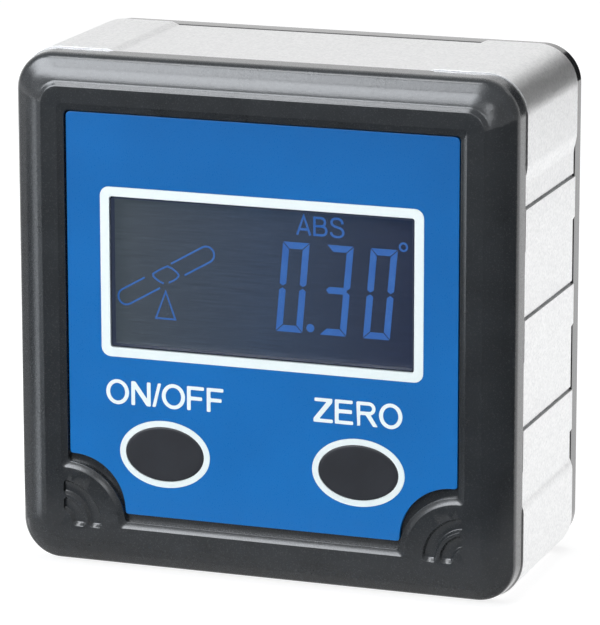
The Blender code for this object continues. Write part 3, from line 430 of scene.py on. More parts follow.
bm = bmesh.new()
outer = [hoop(bm, shifted(frame_section, grow), FRAME_FRONT + step) for grow, step in front_round]
outer += [hoop(bm, shifted(frame_section, grow), FRAME_BACK - step) for grow, step in back_round]
inner = [hoop(bm, shifted(frame_hollow, grow), depth) for grow, depth in
         ((0.1, FRAME_FRONT), (0.0, FRAME_FRONT + 0.1), (0.0, FRAME_BACK - 0.1), (0.1, FRAME_BACK))]
bore_outlines = [circle(sx * SCREW_AT, sz * SCREW_AT, SCREW_BORE, 24) for sx, sz in CORNERS]
bores = [[hoop(bm, outline, depth) for depth in (FRAME_FRONT, FRAME_BACK)] for outline in bore_outlines]
wall(bm, outer)
wall(bm, inner)
for bore in bores:
    wall(bm, bore)
flat(bm, [outer[0], inner[0]] + [bore[0] for bore in bores])
flat(bm, [outer[-1], inner[-1]] + [bore[-1] for bore in bores])
frame_piece = piece("frame_extrusion", bm, blasted_aluminium,
                    stands_for=("extruded_frame",), sharp=21.0)


def lying_disc(bm, x, depth, profile):
    """Closed turned body that lies in the base: profile holds (mm above the base, radius)."""
    rows = []
    for height, radius in profile:
        around = circle(x, depth, radius, 48)
        rows.append([bm.verts.new(spot(across, height - BODY_HALF, back)) for across, back in around])
    wall(bm, rows)
    bm.faces.new(rows[0])
    bm.faces.new(rows[-1])


bm = bmesh.new()
for side in (-1, 1):
    lying_disc(bm, side * MAGNET_AT, MAGNET_DEPTH, [(-2.0, MAGNET_FIT), (POCKET_TOP, MAGNET_FIT)])
cut(frame_piece, "DIFFERENCE", bm)


def effect(name, inputs, outputs):
    """Empty shader node group with named inputs and outputs."""
    group = bpy.data.node_groups.new(name, "ShaderNodeTree")
    for label, value in inputs.items():
        kind = "NodeSocketColor" if isinstance(value, tuple) else "NodeSocketFloat"
        group.interface.new_socket(label, in_out="INPUT", socket_type=kind).default_value = value
    for label, kind in outputs.items():
        group.interface.new_socket(label, in_out="OUTPUT", socket_type=kind)
    return group, group.nodes.new("NodeGroupInput"), group.nodes.new("NodeGroupOutput")


drifting_tone, given, result = effect(
    "drifting_tone",
    {"Dark": (0.0, 0.0, 0.0, 1.0), "Light": WHITE, "Patches per mm": 3.0, "Detail": 2.0, "Raggedness": 0.5,
     "All dark below": 0.0, "All light above": 1.0},
    {"Colour": "NodeSocketColor"})
ragged = add(drifting_tone, "TexNoise", Vector=millimetres(drifting_tone), Scale=given.outputs["Patches per mm"],
             Detail=given.outputs["Detail"], Roughness=given.outputs["Raggedness"])
share = add(drifting_tone, "MapRange", Value=ragged, From_Min=given.outputs["All dark below"],
            From_Max=given.outputs["All light above"])
tone = add(drifting_tone, "Mix", data_type="RGBA")
join(drifting_tone, share, tone.inputs[0], given.outputs["Dark"], tone.inputs[6],
     given.outputs["Light"], tone.inputs[7], tone.outputs[2], result.inputs["Colour"])

# Painted shade: the groove faces on both flanks get a darker, speckled metal colour that stands in for the shade
# inside the grooves.
groove_painted_shade, tree, shader = finish_tree("groove_painted_shade", Metallic=0.6, Roughness=0.6)
tone = add(tree, "Group", node_tree=drifting_tone, Dark=(0.16, 0.16, 0.17, 1.0),
           Light=(0.80, 0.81, 0.82, 1.0), Patches_per_mm=2.6, Detail=5.0, Raggedness=0.7,
           All_dark_below=0.35, All_light_above=0.65)
feed(tree, shader, Base_Color=tone)
frame_piece.data.materials.append(groove_painted_shade)
for face in frame_piece.data.polygons:
    across, up = abs(face.center.x) * 1000, face.center.z * 1000 - BODY_HALF
    if 27.1 < across < 27.34 and abs(up) < 15.5:
        face.material_index = 1


# Base magnets.
# Two nickel plated disc magnets, pressed and glued into pockets in the frame's base,
# a little below the surface that stands on the work.

fine_marks, given, result = effect(
    "fine_marks",
    {"Marks per mm": 3.0, "Detail": 6.0, "Raggedness": 0.6, "Smoothest": 0.2, "Roughest": 0.4, "Depth": 0.1},
    {"Roughness": "NodeSocketFloat", "Normal": "NodeSocketVector"})
scuffs = add(fine_marks, "TexNoise", Vector=millimetres(fine_marks), Scale=given.outputs["Marks per mm"],
             Detail=given.outputs["Detail"], Roughness=given.outputs["Raggedness"])
feed(fine_marks, result,
     Roughness=add(fine_marks, "MapRange", Value=scuffs, To_Min=given.outputs["Smoothest"],
                   To_Max=given.outputs["Roughest"]),
     Normal=add(fine_marks, "Bump", Height=scuffs, Strength=given.outputs["Depth"], Distance=0.00002))


def handled(name, marks_per_mm, detail, raggedness, smoothest, roughest, depth, **shader_values):
    """Material whose sheen and surface follow fine marks; returns it with its tree and shader."""
    material, tree, shader = finish_tree(name, **shader_values)
    marks = add(tree, "Group", node_tree=fine_marks, Marks_per_mm=marks_per_mm, Detail=detail,
                Raggedness=raggedness, Smoothest=smoothest, Roughest=roughest, Depth=depth)
    feed(tree, shader, Roughness=marks.outputs["Roughness"])
    if depth:
        feed(tree, shader, Normal=marks.outputs["Normal"])
    return material, tree, shader


magnet_nickel, tree, shader = handled(
    "magnet_nickel", marks_per_mm=2.2, detail=6.0, raggedness=0.65, smoothest=0.14, roughest=0.42, depth=0.08,
    Base_Color=(0.55, 0.54, 0.52, 1.0), Metallic=1.0)
for number, side in enumerate((-1, 1), 1):
    bm = bmesh.new()
    lying_disc(bm, side * MAGNET_AT, MAGNET_DEPTH,
               [(0.45, 3.85), (0.48, 3.93), (0.55, 4.0), (1.15, 4.0), (1.22, 3.93), (1.25, 3.85)])
    piece(f"disc_magnet_{number}", bm, magnet_nickel,
          stands_for=(f"base_magnet_{number}",))


# Front bezel.
# One black ABS moulding: sloped rim, a fine lip, a sunk deck for the faceplate and two
# corner pads with quarter-round grooves. Spark eroded texture; screwed on from behind.

LOWER_CORNERS = ((-1, -1), (1, -1))
BEZEL_HALF, BEZEL_CORNER, BEZEL_BACK = 27.5, 4.2, 3.55
DECK_FRONT, DECK_BACK = 0.9, 2.1
PAD_X, PAD_Z = 22.55, -22.95
KEY_X, KEY_Z, KEY_HALF_X, KEY_HALF_Z = 10.74, -14.58, 4.4, 2.97
WINDOW_HALF_X, WINDOW_HALF_Z, WINDOW_Z = 16.75, 8.1, 4.69
POST_X, POST_Z = 21.1, 12.2
TAB_IN, TAB_OUT, TAB_HALF = 24.32, 25.5, 15.0


def rounded_square(half_x, half_z, corner, steps=16, cx=0.0, cz=0.0):
    """Outline of a rectangle with round corners, counter-clockwise."""
    points = []
    for quarter, (sx, sz) in enumerate(CORNERS):
        points += arc(cx + sx * (half_x - corner), cz + sz * (half_z - corner), corner,
                      quarter * pi / 2, (quarter + 1) * pi / 2, steps)
    return points


def plate_outline(grow):
    """Outline of the faceplate, grown all round."""
    return notched_square(21.5 + grow, 21.05, 21.15, 5.78 - grow, LOWER_CORNERS, 0.5, 8, 0.4)


def deck_outline(run):
    """Outline of the sunk deck, grown by a run of its slope; wider than the faceplate below."""
    return notched_square(21.68 + run, 21.95, 22.95, 6.75 - run, LOWER_CORNERS, 0.57, 8, 0.4, 22.34 + run)


def oval(side, grow):
    """Outline of a key, left (-1) or right (1), grown all round."""
    return ellipse(side * KEY_X, KEY_Z, KEY_HALF_X + grow, KEY_HALF_Z + grow, 64)


def window(grow):
    """Outline of the display opening, grown all round."""
    corner = 0.3 + 0.7 * max(grow, -0.3)
    return rounded_square(WINDOW_HALF_X + grow, WINDOW_HALF_Z + grow, corner, 6, 0.0, WINDOW_Z)


def solid(bm, rows, normal=(0.0, 1.0, 0.0)):
    """Solid through closed rows of points, with a flat face at both ends."""
    wall(bm, rows)
    flat(bm, [rows[0]], normal)
    flat(bm, [rows[-1]], normal)


def multiplied(tree, colour, mask, share=1.0):
    """Colour times a mask, by this share."""
    mixed = add(tree, "Mix", data_type="RGBA", blend_type="MULTIPLY")
    mixed.inputs[0].default_value = share
    join(tree, colour, mixed.inputs[6], mask, mixed.inputs[7])
    return mixed.outputs[2]


mould_grain, given, result = effect(
    "mould_grain",
    {"Colour": (0.02, 0.02, 0.02, 1.0), "Grain per mm": 7.0, "Depth": 0.2, "Smoothest": 0.35,
     "Roughest": 0.55},
    {"Colour": "NodeSocketColor", "Roughness": "NodeSocketFloat", "Gloss": "NodeSocketFloat",
     "Normal": "NodeSocketVector"})
place = millimetres(mould_grain)
grain = add(mould_grain, "TexNoise", Vector=place, Scale=given.outputs["Grain per mm"], Detail=2.0,
            Roughness=0.6)
cloud = add(mould_grain, "TexNoise", Vector=place, Scale=0.25, Detail=3.0)
dabs = add(mould_grain, "TexNoise", Vector=place, Scale=4.2, Detail=2.0, Roughness=0.6)
spread = add(mould_grain, "MapRange", Value=cloud, From_Min=0.3, From_Max=0.7, To_Min=0.85, To_Max=1.12)
feed(mould_grain, result,
     Colour=multiplied(mould_grain, given.outputs["Colour"], spread),
     Roughness=add(mould_grain, "MapRange", Value=grain, From_Min=0.3, From_Max=0.7,
                   To_Min=given.outputs["Smoothest"], To_Max=given.outputs["Roughest"]),
     Gloss=add(mould_grain, "MapRange", Value=dabs, From_Min=0.32, From_Max=0.68, To_Min=0.72, To_Max=1.0),
     Normal=add(mould_grain, "Bump", Height=grain, Strength=given.outputs["Depth"], Distance=0.00003))


def moulded(name, colour, grain_per_mm, depth, smoothest, roughest, patchy_coat=False, **shader_values):
    """Plastic or rubber with the moulded grain; a patchy coat adds a sheen that comes and goes."""
    material, tree, shader = finish_tree(name, **shader_values)
    grain = add(tree, "Group", node_tree=mould_grain, Colour=(*colour, 1.0), Grain_per_mm=grain_per_mm,
                Depth=depth, Smoothest=smoothest, Roughest=roughest)
    feed(tree, shader, Base_Color=grain.outputs["Colour"], Roughness=grain.outputs["Roughness"],
         Normal=grain.outputs["Normal"])
    if patchy_coat:
        feed(tree, shader, Coat_Weight=grain.outputs["Gloss"], Coat_Normal=grain.outputs["Normal"])
    return material


black_abs = moulded("black_abs", (0.0290, 0.0325, 0.0360), grain_per_mm=7.0, depth=0.17, smoothest=0.19,
                    roughest=0.30, patchy_coat=True, Coat_Roughness=0.21)

bezel_profile = [(27.42, BEZEL_BACK), (27.52, 3.52), (27.56, 3.45)]
bezel_profile += bend((27.44, 2.0), (27.42, 1.36), (26.82, 1.070), 12)
bezel_profile += bend((26.2, 0.795), (25.65, 0.505), (24.85, 0.33), 8)
bezel_profile += bend((24.74, 0.313), (24.60, 0.29), (24.51, 0.235), 4)
bezel_profile += [(24.26, 0.075), (24.20, 0.03), (24.12, 0.004), (24.05, 0.0)]
soft_rim = ((24.45, 0.0), (24.60, 0.008), (24.75, 0.032), (25.0, 0.10), (25.25, 0.18), (25.5, 0.27),
            (25.85, 0.415), (26.2, 0.58), (26.5, 0.76), (26.82, 1.03))


def without_lip(half, depth):
    """Depth of the rim at the sides and the foot, where it runs into the land without a lip."""
    if half <= soft_rim[0][0]:
        return 0.0
    for (h0, d0), (h1, d1) in zip(soft_rim, soft_rim[1:]):
        if half <= h1:
            return d0 + (d1 - d0) * (half - h0) / (h1 - h0)
    return depth


bm = bmesh.new()
rim = []
for half, depth in bezel_profile:
    corner = BEZEL_CORNER - 2.0 * (BEZEL_HALF - half) / 2.9
    row = []
    for x, z in rounded_square(half, half, corner, 20):
        lip = min(max((z - 20.5) / 3.5, 0.0), 1.0)
        row.append(bm.verts.new(spot(x, z, lip * depth + (1.0 - lip) * without_lip(half, depth))))
    rim.append(row)
wall(bm, rim)
slope = [(0.72, 0.0), (0.69, 0.008), (0.56, 0.062), (0.41, 0.118), (0.26, 0.165), (0.14, 0.195),
         (0.06, 0.213), (0.02, 0.228), (0.0, 0.27), (0.0, DECK_FRONT)]
sunk = [hoop(bm, deck_outline(run), depth) for run, depth in slope]
wall(bm, sunk)
groove_wall = ((0.0, 0.0), (0.08, 0.012), (0.22, 0.08), (0.80, 0.30), (0.94, 0.345), (1.0, 0.35))
groove_mouths = []
for side in (-1, 1):
    for start in (1.30, 3.15):
        rows = []
        for lean, depth in groove_wall:
            near, far = start + 0.36 * lean, start + 1.56 - 0.26 * lean
            foot, top = -0.36 + 0.48 * lean, -0.38 + 0.38 * lean
            trim = 0.30 - 0.22 * lean
            low, high = foot + trim, top - trim
            outline = arc(PAD_X, PAD_Z, near, pi - asin(low / near), pi / 2 + asin(-high / near), 18)
            outline += [(PAD_X + top, PAD_Z + sqrt(r ** 2 - top ** 2)) for r in (near + trim, far - trim)]
            outline += arc(PAD_X, PAD_Z, far, pi / 2 + asin(-high / far), pi - asin(low / far), 18)
            outline += [(PAD_X - sqrt(r ** 2 - foot ** 2), PAD_Z + foot) for r in (far - trim, near + trim)]
            rows.append(hoop(bm, [(side * x, z) for x, z in outline], depth))
        wall(bm, rows)
        flat(bm, [rows[-1]])
        groove_mouths.append(rows[0])
flat(bm, [rim[-1], sunk[0]] + groove_mouths)
openings = [[hoop(bm, outline, depth) for depth in (DECK_FRONT, DECK_BACK)]
            for outline in (window(0.0), oval(-1, 0.0), oval(1, 0.0))]
for opening in openings:
    wall(bm, opening)
flat(bm, [sunk[-1]] + [opening[0] for opening in openings])
bezel_hollow = notched_square(24.3, SCREW_AT, SCREW_AT, 3.8, CORNERS, 0.0, 8)
hollow = [hoop(bm, bezel_hollow, depth) for depth in (BEZEL_BACK, DECK_BACK)]
wall(bm, hollow)


def blind_holes(places, profile):
    """Round posts or sockets with a closed bottom; returns their mouths."""
    mouths = []
    for x, z in places:
        rows = [hoop(bm, circle(x, z, radius, 24), depth) for radius, depth in profile]
        wall(bm, rows)
        flat(bm, [rows[-1]])
        mouths.append(rows[0])
    return mouths


posts = blind_holes([(sx * POST_X, sz * POST_Z) for sx, sz in CORNERS],
                    ((1.5, DECK_BACK), (1.5, 5.95), (1.45, 6.0), (0.8, 6.0), (0.8, 3.2)))
sockets = blind_holes([(sx * SCREW_AT, sz * SCREW_AT) for sx, sz in CORNERS], ((1.1, BEZEL_BACK), (1.1, 1.6)))
flat(bm, [rim[0], hollow[0]] + sockets)
flat(bm, [hollow[1]] + posts + [opening[1] for opening in openings])
for side in (-1, 1):
    for across in (True, False):
        rows = []
        for thin, depth in ((0.0, 2.4), (0.0, 5.6), (0.15, 5.8)):
            low, high = sorted((side * TAB_IN, side * (TAB_OUT - thin)))
            along = TAB_HALF - thin
            corners = ((low, -along), (high, -along), (high, along), (low, along))
            rows.append(hoop(bm, [(x, z) if across else (z, x) for x, z in corners], depth))
        solid(bm, rows)
piece("bezel_moulding", bm, black_abs, stands_for=("front_bezel",))


# Circuit board and chips.
# Green glass laminate behind the display, with copper tracks under the solder mask.
# It carries a controller and a tilt sensor in epoxy packages, soldered by tinned leads.

BOARD_BACK = 7.4

solder_mask, tree, shader = finish_tree("solder_mask", Roughness=0.32)
place = millimetres(tree)
tracks = add(tree, "TexBrick", offset=0.35, squash=1.4, squash_frequency=3,
             Vector=add(tree, "Mapping", Vector=place, Rotation=(pi / 2, 0.0, 0.0)),
             Color1=(0.010, 0.120, 0.045, 1.0), Color2=(0.012, 0.135, 0.052, 1.0),
             Mortar=(0.030, 0.230, 0.090, 1.0), Scale=0.55, Mortar_Size=0.035, Brick_Width=1.9, Row_Height=0.42)
laminate = add(tree, "TexNoise", Vector=place, Scale=1.2, Detail=4.0)
feed(tree, shader,
     Base_Color=multiplied(tree, tracks.outputs["Color"], laminate.outputs["Color"], 0.35),
     Normal=add(tree, "Bump", Height=tracks.outputs["Fac"], Strength=0.25, Distance=0.00003))
chip_epoxy = moulded("chip_epoxy", (0.018, 0.018, 0.019), grain_per_mm=9.0, depth=0.10, smoothest=0.38,
                     roughest=0.55)
tinned, tree, shader = handled(
    "tinned_metal", marks_per_mm=5.0, detail=4.0, raggedness=0.5, smoothest=0.20, roughest=0.42, depth=0.0,
    Base_Color=(0.68, 0.67, 0.64, 1.0), Metallic=1.0)


def dress(material, *nodes):
    """Give CAD nodes that are carried over their finished material."""
    for node in nodes:
        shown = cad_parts[node]
        shown.data.materials.clear()
        shown.data.materials.append(material)


dress(solder_mask, "circuit_board")
dress(chip_epoxy, "controller_chip", "tilt_sensor", "on_off_switch", "zero_switch")

lead_bends = ((-0.15, 0.75, 0.9), (0.35, 0.75, 0.9), (0.5, 0.05, 0.2), (0.95, 0.02, 0.17))
bm = bmesh.new()
for cx, cz, half, legs, pitch in ((-7.0, 7.5, 3.5, 8, 0.8), (9.0, 0.0, 2.5, 4, 1.27)):
    for n in range(legs):
        t = (n - (legs - 1) / 2) * pitch
        for sx, sz in ((1, 0), (-1, 0), (0, 1), (0, -1)):
            rows = []
            for out, low, high in lead_bends:
                reach = half + out
                row = []
                for side, depth in ((-0.15, low), (0.15, low), (0.15, high), (-0.15, high)):
                    x = cx + sx * reach + (t + side if sz else 0.0)
                    z = cz + sz * reach + (t + side if sx else 0.0)
                    row.append(bm.verts.new(spot(x, z, BOARD_BACK + depth)))
                rows.append(row)
            wall(bm, rows)
            bm.faces.new(rows[0])
            bm.faces.new(rows[-1])
piece("chip_leads", bm, tinned, weighted=False)


# Screws.
# Zinc plated pan-head screws with a cross recess and a rolled thread: four short ones
# hold the board to the bezel's posts, four long ones run from the rear cover to the bezel.

plated_steel, tree, shader = handled(
    "plated_steel", marks_per_mm=3.5, detail=6.0, raggedness=0.6, smoothest=0.18, roughest=0.45, depth=0.10,
    Base_Color=(0.60, 0.60, 0.61, 1.0), Metallic=1.0)


def cross_screw(name, node, x, z, tip, seat, shank, head, head_height, threaded):
    """Screw that points forwards: a threaded shank and a pan head with a cross recess, sizes in mm."""
    bm = bmesh.new()
    around, pitch, thread_end = 24, shank * 0.42, tip + threaded
    count = int(threaded / pitch * 6)
    rows = []
    for depth in [tip + threaded * k / count for k in range(count + 1)] + [seat]:
        row = []
        for i in range(around):
            phase = (depth / pitch + i / around) % 1.0
            crest = 1.0 - abs(2.0 * phase - 1.0)
            ease = min(1.0, (depth - tip) / (2 * pitch) + 0.45, max(0.0, (thread_end - depth) / pitch + 0.2))
            radius = shank if depth >= thread_end else shank * (0.80 + 0.20 * crest) * min(1.0, ease + 0.25)
            a = 2 * pi * i / around
            row.append(bm.verts.new(spot(x + radius * cos(a), z + radius * sin(a), depth)))
        rows.append(row)
    for reach, rise in ((0.97, 0.0), (1.0, 0.06 / head_height), (1.0, 0.55), (0.93, 0.82), (0.78, 0.95),
                        (0.60, 1.0)):
        rows.append(hoop(bm, circle(x, z, head * reach, around), seat + head_height * rise))
    wall(bm, rows)
    bm.faces.new(rows[0])
    bm.faces.new(rows[-1])
    screw = piece(name, bm, plated_steel, stands_for=(node,), weighted=False)
    long, thin = head * 0.56, head * 0.12
    cross = [(thin, thin), (thin, long), (-thin, long), (-thin, thin), (-long, thin), (-long, -thin),
             (-thin, -thin), (-thin, -long), (thin, -long), (thin, -thin), (long, -thin), (long, thin)]
    tool = bmesh.new()
    rows = []
    for share, rise in ((0.25, 0.25), (1.0, 0.95), (1.1, 1.3)):
        arms = [tuple(v * share if abs(v) > thin * 1.01 else v for v in point) for point in cross]
        rows.append(hoop(tool, [(x + px, z + pz) for px, pz in arms], seat + head_height * rise))
    wall(tool, rows)
    tool.faces.new(rows[0])
    tool.faces.new(rows[-1])
    cut(screw, "DIFFERENCE", tool)


for number, (sx, sz) in enumerate(CORNERS, 1):
    cross_screw(f"board_fixing_{number}", f"board_screw_{number}", sx * POST_X, sz * POST_Z,
                tip=3.4, seat=7.5, shank=0.7, head=1.3, head_height=0.9, threaded=3.4)
    cross_screw(f"cover_fixing_{number}", f"cover_screw_{number}", sx * SCREW_AT, sz * SCREW_AT,
                tip=1.8, seat=23.2, shank=1.0, head=1.8, head_height=1.0, threaded=6.5)


# Display.
# Liquid crystal panel under a clear window, lit from behind: dark glass on which the
# lit segments, the unit and the level icon stand in blue. Rubber strips connect it.

SEGMENT_FRONT, SEGMENT_THICK = 2.27, 0.03
DIGIT_FOOT, DIGIT_WIDE, DIGIT_TALL, DIGIT_LEAN = -0.50, 2.90, 9.57, 0.84
GLASS_BLACK = (0.008, 0.008, 0.012, 1.0)

# Painted light: the dark panel glows in its own tone, lighter at the left and darker at the right, with faint
# streaks. This stands in for the reflections seen in the glass.
liquid_crystal_painted_glow, tree, shader = finish_tree("liquid_crystal_painted_glow", Base_Color=GLASS_BLACK, Roughness=0.30,
                                           Emission_Strength=1.0)
place = millimetres(tree)
stretch = add(tree, "Mapping", Vector=place, Rotation=(0.0, radians(3.0), 0.0), Scale=(0.22, 1.0, 5.5))
streaks = add(tree, "TexNoise", Vector=stretch, Scale=1.0, Detail=5.0, Roughness=0.75)
contrast = add(tree, "MapRange", Value=streaks, From_Min=0.3, From_Max=0.7, To_Min=0.72, To_Max=1.30)
across = add(tree, "SeparateXYZ", Vector=place)
share = add(tree, "MapRange", Value=across.outputs["X"], From_Min=-17.0, From_Max=17.0)
tone = ramp(tree, share, (0.055, 0.071, 0.085), (0.033, 0.054, 0.093), (0.012, 0.021, 0.050))
feed(tree, shader, Emission_Color=multiplied(tree, tone.outputs["Color"], contrast))
dress(liquid_crystal_painted_glow, "display_panel")

lit_blue, tree, shader = finish_tree("lit_segments", Base_Color=(0.01, 0.02, 0.04, 1.0), Roughness=0.4,
                                     Emission_Strength=1.0)
tone = add(tree, "Group", node_tree=drifting_tone, Dark=(0.022, 0.095, 0.360, 1.0),
           Light=(0.030, 0.140, 0.450, 1.0), Patches_per_mm=0.6, Detail=2.0)
feed(tree, shader, Emission_Color=tone)

frosted = moulded("frosted_diffuser", (0.80, 0.80, 0.76), grain_per_mm=5.0, depth=0.10, smoothest=0.45,
                  roughest=0.60)
strip_rubber = moulded("strip_rubber", (0.028, 0.029, 0.033), grain_per_mm=6.0, depth=0.12, smoothest=0.50,
                       roughest=0.65)
dress(frosted, "display_backlight", "on_off_plunger", "zero_plunger")
dress(strip_rubber, "display_connector_upper", "display_connector_lower")


def printed(name, shapes, front, thick, material):
    """Print of flat shapes, each a closed outline or an outline with its holes, at one depth."""
    bm = bmesh.new()
    for shape in shapes:
        outlines = shape if isinstance(shape[0][0], (tuple, list)) else [shape]
        tops = [hoop(bm, outline, front) for outline in outlines]
        backs = [hoop(bm, outline, front + thick) for outline in outlines]
        for top, back in zip(tops, backs):
            wall(bm, [top, back])
        flat(bm, tops)
        flat(bm, backs)
    return piece(name, bm, material, sharp=30.0, weighted=False)


def ribbon(points, width, closed=False):
    """Flat line of one width along points; a closed one is its outline with its hole."""
    if closed:
        return [shifted(points, width / 2), shifted(points, -width / 2)]
    left, right = [], []
    for i, point in enumerate(points):
        here = Vector(point)
        back = (here - Vector(points[max(i - 1, 0)])).normalized()
        ahead = (Vector(points[min(i + 1, len(points) - 1)]) - here).normalized()
        if i == 0:
            back = ahead
        if i == len(points) - 1:
            ahead = back
        n0, n1 = Vector((-back.y, back.x)), Vector((-ahead.y, ahead.x))
        reach = (n0 + n1) * (width / 2 / max(0.3, 1 + n0.dot(n1)))
        left.append(tuple(here + reach))
        right.append(tuple(here - reach))
    return left + right[::-1]


def digit(left, lit, width=0.70, gap=0.10):
    """Seven-segment digit that leans to the right, from its left side at the foot."""
    w, g, half, across, tall = width, gap / 2, DIGIT_TALL / 2, DIGIT_WIDE, DIGIT_TALL
    point = w * 0.42
    forms = {
        "top": [(g, tall), (across - g, tall), (across - w - g, tall - w), (w + g, tall - w)],
        "foot": [(g, 0.0), (w + g, w), (across - w - g, w), (across - g, 0.0)],
        "upper_left": [(0.0, tall - 2 * g), (w, tall - w - 2 * g), (w, half + point + g),
                       (w / 2, half + 2 * g), (0.0, half + point + g)],
        "lower_left": [(0.0, 2 * g), (0.0, half - point - g), (w / 2, half - 2 * g),
                       (w, half - point - g), (w, w + 2 * g)],
        "middle": [(w * 0.45, half), (w * 0.9, half + w / 2), (across - w * 0.9, half + w / 2),
                   (across - w * 0.45, half), (across - w * 0.9, half - w / 2), (w * 0.9, half - w / 2)],
    }
    for row in ("upper", "lower"):
        forms[row + "_right"] = [(across - u, v) for u, v in forms[row + "_left"]]
    return [[(left + u + DIGIT_LEAN * v / tall, DIGIT_FOOT + v) for u, v in forms[name]] for name in lit]


all_round = ("top", "foot", "upper_left", "lower_left", "upper_right", "lower_right")
segments = digit(1.25, all_round) + digit(6.04, ("top", "foot", "middle", "upper_right", "lower_right"))
segments += digit(10.80, all_round)
segments.append(circle(5.05, 0.10, 0.43, 24))
segments.append([circle(15.14, 9.42, 0.50, 32), circle(15.14, 9.42, 0.29, 32)])
printed("display_digits", segments, SEGMENT_FRONT, SEGMENT_THICK, lit_blue)

vial_start, vial_end, vial_radius = Vector((-15.45, 1.85)), Vector((-6.40, 7.03)), 0.86
vial_run = (vial_end - vial_start).normalized()
vial_side = Vector((-vial_run.y, vial_run.x))
vial_turn = atan2(vial_run.y, vial_run.x)


def on_vial(reach, rise):
    """Place along the tilted vial of the level icon and above its middle line."""
    return tuple(vial_start + vial_run * reach + vial_side * rise)


left_end = [on_vial(2.93, vial_radius)]
left_end += arc(*vial_start, vial_radius, vial_turn + pi / 2, vial_turn + 1.5 * pi, 12)
left_end.append(on_vial(3.93, -vial_radius))
right_end = [on_vial(7.13, -vial_radius)]
right_end += arc(*vial_end, vial_radius, vial_turn - pi / 2, vial_turn + pi / 2, 12)
right_end.append(on_vial(6.37, vial_radius))
bubble = bend(on_vial(4.55, -0.62), on_vial(4.0, 0.0), on_vial(3.9, 0.55), 4)
bubble += bend(on_vial(4.0, 0.80), on_vial(5.0, 0.90), on_vial(5.85, 0.80), 3)
bubble += bend(on_vial(6.15, 0.45), on_vial(6.62, -0.30), on_vial(6.50, -0.62), 4)
bubble += bend(on_vial(6.10, -0.80), on_vial(5.60, -0.84), on_vial(5.12, -0.80), 2)
pointer = [(-10.98, 2.72), (-12.10, -0.20), (-9.92, -0.20)]
icon = [ribbon(left_end, 0.19), ribbon(right_end, 0.19), ribbon(bubble, 0.18),
        ribbon(pointer, 0.18, closed=True)]
printed("display_level_icon", icon, SEGMENT_FRONT, SEGMENT_THICK, lit_blue)

unit_foot, unit_top, unit_line = 9.90, 11.92, 0.24
unit_middle = (unit_foot + unit_top) / 2 + 0.03
letter_a = [ribbon([(3.62, unit_foot), (4.33, unit_top), (5.04, unit_foot)], unit_line),
            ribbon([(3.84, 10.50), (4.82, 10.50)], unit_line)]
letter_b = [ribbon([(5.50, unit_foot), (5.50, unit_top)], unit_line)]
for low, high, reach in ((unit_middle, unit_top - 0.11, 6.22), (unit_foot + 0.11, unit_middle, 6.34)):
    half = (high - low) / 2
    belly = [(5.50, high)] + arc(reach, low + half, half, pi / 2, -pi / 2, 10) + [(5.50, low)]
    letter_b.append(ribbon(belly, unit_line))
letter_s = [(8.56, 11.34)]
for corner, end, steps in (
        ((8.50, 11.88), (7.96, 11.88), 5), ((7.36, 11.88), (7.36, 11.42), 5),
        ((7.36, 11.10), (8.00, 10.97), 4), ((8.64, 10.84), (8.64, 10.46), 4),
        ((8.64, 9.95), (7.98, 9.95), 5), ((7.36, 9.95), (7.30, 10.42), 5)):
    letter_s += bend(letter_s[-1], corner, end, steps)[1:]
printed("display_unit", letter_a + letter_b + [ribbon(letter_s, unit_line)], SEGMENT_FRONT, SEGMENT_THICK,
        lit_blue)

window_clear = bpy.data.materials.new("clear_acrylic")
tree = shader_tree(window_clear)
wipes = add(tree, "TexNoise", Vector=millimetres(tree), Scale=0.8, Detail=5.0, Roughness=0.6)
rough = add(tree, "MapRange", Value=wipes, From_Min=0.35, From_Max=0.75, To_Min=0.015, To_Max=0.09)
acrylic = add(tree, "BsdfPrincipled", Base_Color=WHITE, Roughness=rough, IOR=1.49, Transmission_Weight=1.0)
through = add(tree, "BsdfTransparent")
mixed = add(tree, "MixShader", Fac=add(tree, "LightPath").outputs["Is Shadow Ray"])
join(tree, acrylic, mixed.inputs[1], through, mixed.inputs[2])
add(tree, "OutputMaterial", Surface=mixed)
# Painted light: the side faces of the pane glow in the panel's dark blue tone, so that the wall of the opening
# and its glints don't show through them.
pane_edge_painted_glow, tree, shader = finish_tree("pane_edge_painted_glow", Base_Color=GLASS_BLACK, Roughness=0.6,
                                      Emission_Strength=1.0)
tone = add(tree, "Group", node_tree=drifting_tone, Dark=(0.020, 0.028, 0.052, 1.0),
           Light=(0.030, 0.040, 0.070, 1.0), Patches_per_mm=3.0, Detail=4.0)
feed(tree, shader, Emission_Color=tone)
bm = bmesh.new()
pane_edge = ((-0.22, 0.4), (-0.20, 0.43), (-0.20, DECK_BACK))
solid(bm, [hoop(bm, window(grow), depth) for grow, depth in pane_edge])
pane = piece("display_pane", bm, window_clear, stands_for=("display_window",))
pane.data.materials.append(pane_edge_painted_glow)
for face in pane.data.polygons:
    if abs(face.normal.y) < 0.9:
        face.material_index = 1


# Keys.
# Two oval keys of black silicone rubber, level with the faceplate, slightly crowned,
# each on a flange under the deck and with a post that presses its switch.

